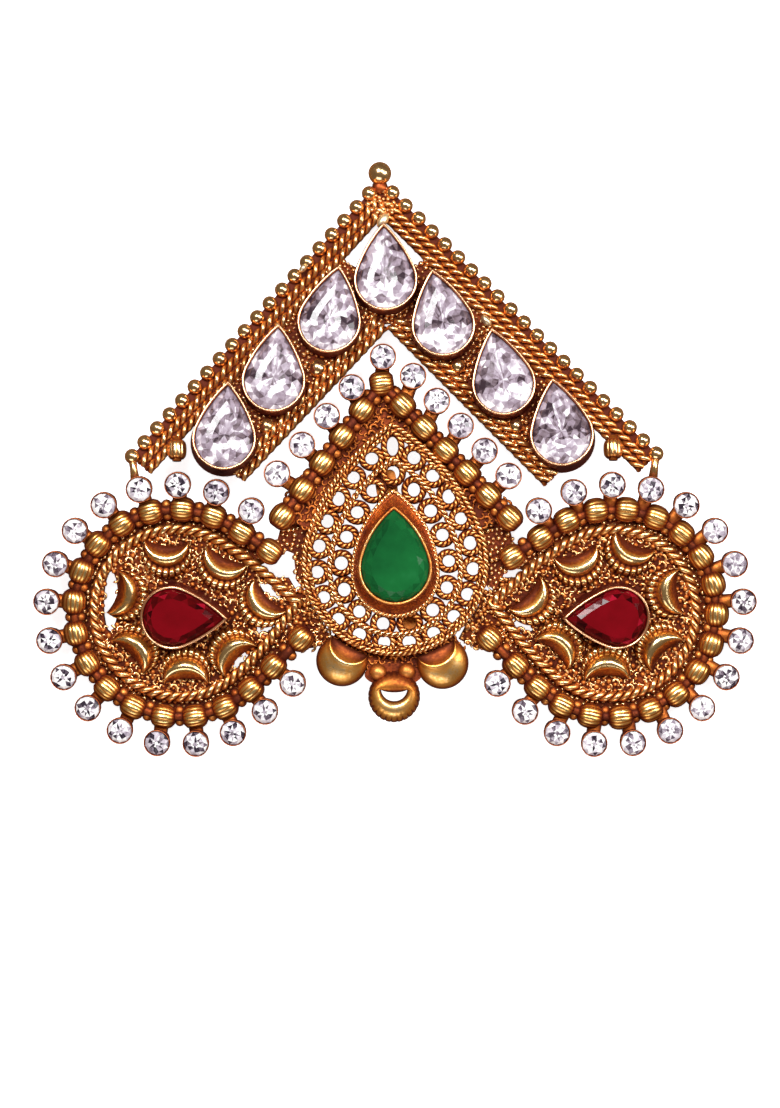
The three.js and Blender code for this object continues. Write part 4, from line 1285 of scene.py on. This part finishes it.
def moon(radius, horn, hollow, height, section=MOON_SECTION, horn_shade=0.1):
    """A moon with its horns up, from rows of way across, part of its height, recess and ribs."""
    horn_x = radius * math.cos(math.radians(horn))
    horn_y = radius * math.sin(math.radians(horn))
    inner = (horn_x ** 2 + hollow ** 2) / (2 * hollow)
    reach = math.asin(horn_x / inner)
    rings, recess = [], []
    for i in range(MOON_STEPS + 1):
        way = i / MOON_STEPS
        angle = math.radians(180 - horn + (180 + 2 * horn) * way)
        outside = radius * Vector((math.cos(angle), math.sin(angle)))
        swing = reach * (2 * way - 1)
        inside = Vector((inner * math.sin(swing), horn_y - hollow + inner - inner * math.cos(swing)))
        taper = 0.5 + 0.5 * math.sin(math.pi * way) ** 0.6
        rings.append([])
        for across, level, depth, milled in section:
            cut = milled * between_ribs(math.pi * MOON_RIBS * way)
            at = outside.lerp(inside, across + 0.03 * cut)
            rings[-1].append((at.x, at.y, height * taper * (level - 0.16 * cut)))
            # Painted shade grows towards the horns, so that the ridge's painted highlight stays in the
            # middle.
            recess.append(min(1.0, depth + cut + horn_shade * abs(2 * way - 1) ** 2))
    form = loft(rings, [])
    form.recess = recess
    return form


moon_form = moon(**MOON)
moon_gold = gold("stamped_gold", tones=STAMPED_TONES, shine=0.18, grain=0.6, patches=1.9, own=UPWARD_SCOOP_SHADE)
for side in SIDES:
    seats = []
    for row in MOON_SEATS[side["name"]]:
        opens = in_lobe(side, row["opens"], 1)
        # Each seat's tone is how far the moon opens upwards, which sets its painted shade or light in the
        # scoop.
        seats.append(seat(in_lobe(side, row["angle"], row["radius"]), LOBE_BACK / 2,
                          turn=math.atan2(opens.y, opens.x) - math.pi / 2, tone=opens.y))
    set_out(side["name"] + "_moons", side["name"] + "_lobe", side["place"], moon_gold, moon_form, seats)


# ---- Lobes: red stones ----
# A pear-cut red glass stone lies in a thin rose-gold box in the middle of each lobe, with its
# point towards the panel.
RED_PEAR = Pear(width=7.15, length=9.9, fullness=2.2)
RED_SEAT = dict(x=-0.35, y=-0.2, wall=3.4)
RUBY_ROWS = [(0.0, 0.0, 0.0), (0.45, 0.45, 0.5), (1.0, 0.8, 0.0)]
RUBY_TONES = [
    (0.0, (0.02, 0.0, 0.001)),
    (0.35, (0.075, 0.001, 0.002)),
    (0.65, (0.19, 0.002, 0.007)),
    (0.85, (0.34, 0.006, 0.024)),
    (1.0, (0.5, 0.12, 0.17)),
]

ruby = jewel("ruby_glass", RUBY_TONES, clouds=0.3, speed=400.0, gleam=0.25)
for side in SIDES:
    name, toward = side["name"], side["toward"]
    place = side["place"] @ to_place((toward * RED_SEAT["x"], RED_SEAT["y"])) @ turn_by(-toward * 90)
    box = setting(RED_PEAR, RED_SEAT["wall"], foot=LOBE_BACK / 2)
    box.piece(name + "_red_setting", name + "_lobe", place, rose_gold)
    # The facets' tones, from 0.1 to 0.7, are painted reflections.
    cut = facets(RED_PEAR, RED_SEAT["wall"] - COLOURED_DOWN, RUBY_ROWS, COLOURED_SIDES,
                 random.Random(11 + side["side"]), 0.1, 0.7, table=0.5)
    cut.piece(name + "_red_stone_cut", "red_stone_" + name, place, ruby, smooth=False, slot="red_glass")


# ---- Lobes: bead rings ----
# Fluted beads are strung round each lobe, and stones in cups stand outside them like rays. Same
# beads, cups and stones as in the centre row.
SPOKES = dict(first=54.2, step=17.27, count=17, cup_radius=14.65, bead_radius=11.8)
BEAD_HALF = 50                   # the ring runs out straight over these degrees beside its point
RING_SHEET = dict(near=9.7, far=12.4, before=4, after=3)
RING_BEADS = {"left": dict(first=34.5, last=349.5, count=19), "right": dict(first=30, last=349.5, count=20)}

for side in SIDES:
    name, node, place = side["name"] + "_ring", side["name"] + "_bead_ring", side["place"]
    beads = RING_BEADS[side["name"]]
    strung(name, node, place, [
        on_ring(side, angle, SPOKES["bead_radius"], BEAD_HALF) for angle in evenly(**beads)])
    sweep = evenly(beads["first"] - RING_SHEET["before"], beads["last"] + RING_SHEET["after"], 61)
    far = [on_ring(side, angle, RING_SHEET["far"], BEAD_HALF) for angle in sweep]
    near = [on_ring(side, angle, RING_SHEET["near"]) for angle in reversed(sweep)]
    sheet = cut_plate(name + "_ground", node, place, far + near)
    granulate(name + "_granulation", node, wire_gold, sheet, 0.5, seed=3)
    spokes = [SPOKES["first"] + i * SPOKES["step"] for i in range(SPOKES["count"])]
    cups(name, node, place, [
        [on_ring(side, angle, SPOKES[end], BEAD_HALF) for end in ("bead_radius", "cup_radius")]
        for angle in spokes])


# ---- Drops ----
# Two scooped domes hang under the panel with a pierced moon between them, below two small balls.
# Crumpled sheet fills in behind them up to the panel. Polished gold with a few dark specks, and
# painted shade in the scoops, towards the horns and over the pierced moon's upper half.
DROP_BACK = 5.3
DROPS = [(-5.9, -22.3), (5.3, -22.6)]
DROP_BALLS = [(-1.9, -23.6), (1.3, -23.5)]
DROP_BALL_RADIUS = 0.98
DROP_SHEET = dict(near=9.8, far=12.5, first=-130, last=-51, thick=0.6)
DROP_BRIDGE = dict(at=(-0.2, -23.9), wide=6.4, deep=2.6, thick=0.9)
DOME = dict(radius=2.9, horn=40, hollow=0.15, height=2.3)
BOTTOM_MOON = dict(at=(-0.1, -26.3), radius=2.9, height=2.3, ribs=26)
SMILE = dict(half=1.46, corner=0.85, down=1.4, sag=0.4)
SMILE_STEPS = 156
# Rows as for the moons. Its recess is painted shade deepening into the scoop.
DOME_SECTION = [
    (0.0, 0.0, 1.0, 0), (0.0, 0.2, 0.8, 0), (0.03, 0.4, 0.5, 0), (0.08, 0.55, 0.3, 0),
    (0.16, 0.68, 0.14, 0), (0.28, 0.8, 0.1, 0), (0.42, 0.9, 0.12, 0), (0.52, 0.93, 0.3, 0),
    (0.57, 0.98, 0.1, 0), (0.62, 1.0, 0.1, 0), (0.66, 0.9, 0.35, 0), (0.76, 0.72, 0.75, 0),
    (0.88, 0.64, 0.9, 0), (1.0, 0.6, 1.0, 0), (1.0, 0.0, 1.0, 0)]
SMILE_SECTION = [
    (0.0, 0.0, 1.0, 1), (0.0, 0.25, 0.8, 1), (0.03, 0.45, 0.5, 1), (0.12, 0.66, 0.2, 1),
    (0.28, 0.86, 0.1, 0), (0.5, 0.97, 0.1, 0), (0.72, 1.0, 0.05, 0), (0.88, 0.93, 0.0, 0),
    (0.97, 0.8, 0.4, 0), (1.0, 0.6, 0.8, 0), (1.0, 0.0, 1.0, 0)]

on_drops = millimetres @ to_place((0, -MIDDLE_Y), DROP_BACK)
dome_gold = gold("dome_gold", tones=STAMPED_TONES, age=0.02, shine=0.24, grain=0.5, patches=1.2, side_shade=0.6)


def pierced_moon(radius, height, ribs):
    """A round puffed moon with a smile cut through it, milled along its edge, with painted shade over its
    upper half.
    """
    rings, recess = [], []
    for across, level, depth, milled in SMILE_SECTION:
        rings.append([])
        for k in range(SMILE_STEPS):
            angle = 2 * math.pi * k / SMILE_STEPS
            rise = math.sin(angle)
            outside = radius * Vector((math.cos(angle), rise))
            down = SMILE["down"] if rise < 0 else -SMILE["sag"]
            inside = Vector((SMILE["half"] * math.cos(angle), SMILE["corner"] + down * rise))
            cut = milled * between_ribs(ribs * angle / 2)
            at = outside.lerp(inside, across + 0.03 * cut)
            rings[-1].append((at.x, at.y, height * (level - 0.1 * cut * (level > 0))))
            # Painted shade grows over the upper half.
            recess.append(min(1.0, depth + 0.5 * cut + 0.3 * (1 + rise)))
    form = loft(rings, [], loop=True)
    form.recess = recess
    return form


def panel_arc(radius):
    """Places on a circle about the panel's middle, over the sheet's span."""
    sweep = [math.radians(angle) for angle in evenly(DROP_SHEET["first"], DROP_SHEET["last"], 25)]
    return [Vector((radius * math.cos(angle), PANEL_Y + radius * math.sin(angle))) for angle in sweep]


dome = moon(**DOME, section=DOME_SECTION, horn_shade=0.6)
domes = Form()
for x, y in DROPS:
    domes += dome.moved(to_place((x, y)) @ turn_by(math.degrees(math.atan2(x, PANEL_Y - y))))
bottom = pierced_moon(BOTTOM_MOON["radius"], BOTTOM_MOON["height"], BOTTOM_MOON["ribs"])
domes += bottom.moved(to_place(BOTTOM_MOON["at"]))
domes.piece("drop_domes", "drop_cluster", on_drops, dome_gold)
small_balls = all_of(ball(DROP_BALL_RADIUS, 22, 12).moved(to_place(at)) for at in DROP_BALLS)
small_balls.piece("drop_balls", "drop_cluster", on_drops, old_gold)
filler = cut_plate("drop_filler", "drop_cluster", on_drops,
                   panel_arc(DROP_SHEET["far"]) + panel_arc(DROP_SHEET["near"])[::-1], DROP_SHEET["thick"])
granulate("drop_filling", "drop_cluster", deep_gold, filler, 0.6, 8, scroll)
bridge_edge = oval(DROP_BRIDGE["at"], DROP_BRIDGE["wide"] / 2, DROP_BRIDGE["deep"] / 2, 32)
cut_plate("drop_bridge", "drop_cluster", on_drops, bridge_edge, DROP_BRIDGE["thick"])


# ---- Pin ----
# A pointed wire, plated like the rest, turns on a rivet between two lugs under the top of the
# panel. Its point lies in a hooked catch at the bottom. Both stand on small soldered plates.
PIN = dict(top=(-1.0, -2.6), end=(1.4, -17.8), height=1.3)
PIN_FOOT = dict(wide=3.0, deep=2.4, thick=0.5, top=5.7, corner=0.6)
PIN_LUG = dict(thick=0.32, wide=1.3, out=0.5)
PIN_CATCH = dict(wide=1.7, thick=0.3, bend=0.62)
RIVET = [(0.28, -0.82, 0.2), (0.34, -0.76, 0.1), (0.34, 0.76, 0.1), (0.28, 0.82, 0.2)]

pin_way = Vector(PIN["end"]) - Vector(PIN["top"])
pin_run = pin_way.length
PIN_STEM = [
    (0.2, -0.45, 0.3), (0.42, -0.35, 0.2), (0.42, 0.35, 0.2), (0.4, pin_run * 0.6, 0.05),
    (0.34, pin_run * 0.85, 0.05), (0.16, pin_run + 0.5, 0.0), (0.03, pin_run + 1.0, 0.0)]
foot_low = PIN_FOOT["top"] - PIN_FOOT["thick"]
FOOT_ROWS = [(0.94, foot_low, 0.4), (1.0, foot_low + 0.08, 0.2), (1.0, PIN_FOOT["top"], 0.2)]
# At its top and at its end, with +X along the pin.
at_top, at_end = (to_place(PIN[end]) @ turn_by(math.degrees(math.atan2(pin_way.y, pin_way.x)))
                  for end in ("top", "end"))
wire_height = to_place((0, 0), PIN["height"])


def under_wire(radius):
    """Half a circle under the wire, as points of X and Z, with a leg up to the foot before it."""
    turns = [math.pi * k / 8 for k in range(9)]
    return [(-radius, foot_low + 0.1),
            *[(-radius * math.cos(turn), PIN["height"] - radius * math.sin(turn)) for turn in turns]]


def swept(path, across, thick):
    """A strip bent along a path of X and Z, as wide as given along Y."""
    rings = []
    for i, (x, z) in enumerate(path):
        before, after = path[max(i - 1, 0)], path[min(i + 1, len(path) - 1)]
        along = Vector((after[0] - before[0], after[1] - before[1])).normalized()
        out = Vector((-along.y, along.x)) * thick / 2
        rings.append([(x + out.x * side, half * across / 2, z + out.y * side)
                      for side, half in ((-1, -1), (1, -1), (1, 1), (-1, 1))])
    return loft(rings, [0.3] * len(rings))


foot_corners = []
for side_x, side_y in ((1, 1), (-1, 1), (-1, -1), (1, -1)):
    for step in range(-2, 3):
        angle = math.atan2(side_y, side_x) + math.radians(22.5 * step)
        foot_corners.append(Vector((
            side_x * (PIN_FOOT["wide"] / 2 - PIN_FOOT["corner"]) + PIN_FOOT["corner"] * math.cos(angle),
            side_y * (PIN_FOOT["deep"] / 2 - PIN_FOOT["corner"]) + PIN_FOOT["corner"] * math.sin(angle))))
foot = loft([[(at.x * size, at.y * size, height) for at in foot_corners] for size, height, _ in FOOT_ROWS],
            [row[2] for row in FOOT_ROWS])
lug_edge = under_wire(PIN_LUG["wide"] / 2) + [(PIN_LUG["wide"] / 2, foot_low + 0.1)]
fittings = foot.moved(at_top) + foot.moved(at_end)
for side in (-1, 1):
    lug = loft([[(x, side * PIN_LUG["out"] + shift, z) for x, z in lug_edge]
                for shift in (-PIN_LUG["thick"] / 2, PIN_LUG["thick"] / 2)], [0.3, 0.3])
    fittings += lug.moved(at_top)
fittings += turned(RIVET, 16).moved(at_top @ wire_height @ turn_by(90, "X"))
bend = PIN_CATCH["bend"]
catch_path = under_wire(bend) + [(bend, PIN["height"] + 0.5), (bend + 0.25, PIN["height"] + 0.85)]
catch = swept(catch_path, PIN_CATCH["wide"], PIN_CATCH["thick"])
fittings += catch.moved(at_end @ turn_by(90))
fittings.piece("pin_fittings", "brooch_pin", on_back, old_gold, smooth=False)
stem = turned(PIN_STEM, 16).moved(wire_height @ turn_by(90, "Y"))
stem.moved(at_top).piece("pin_stem", "brooch_pin", on_back, bright_gold)
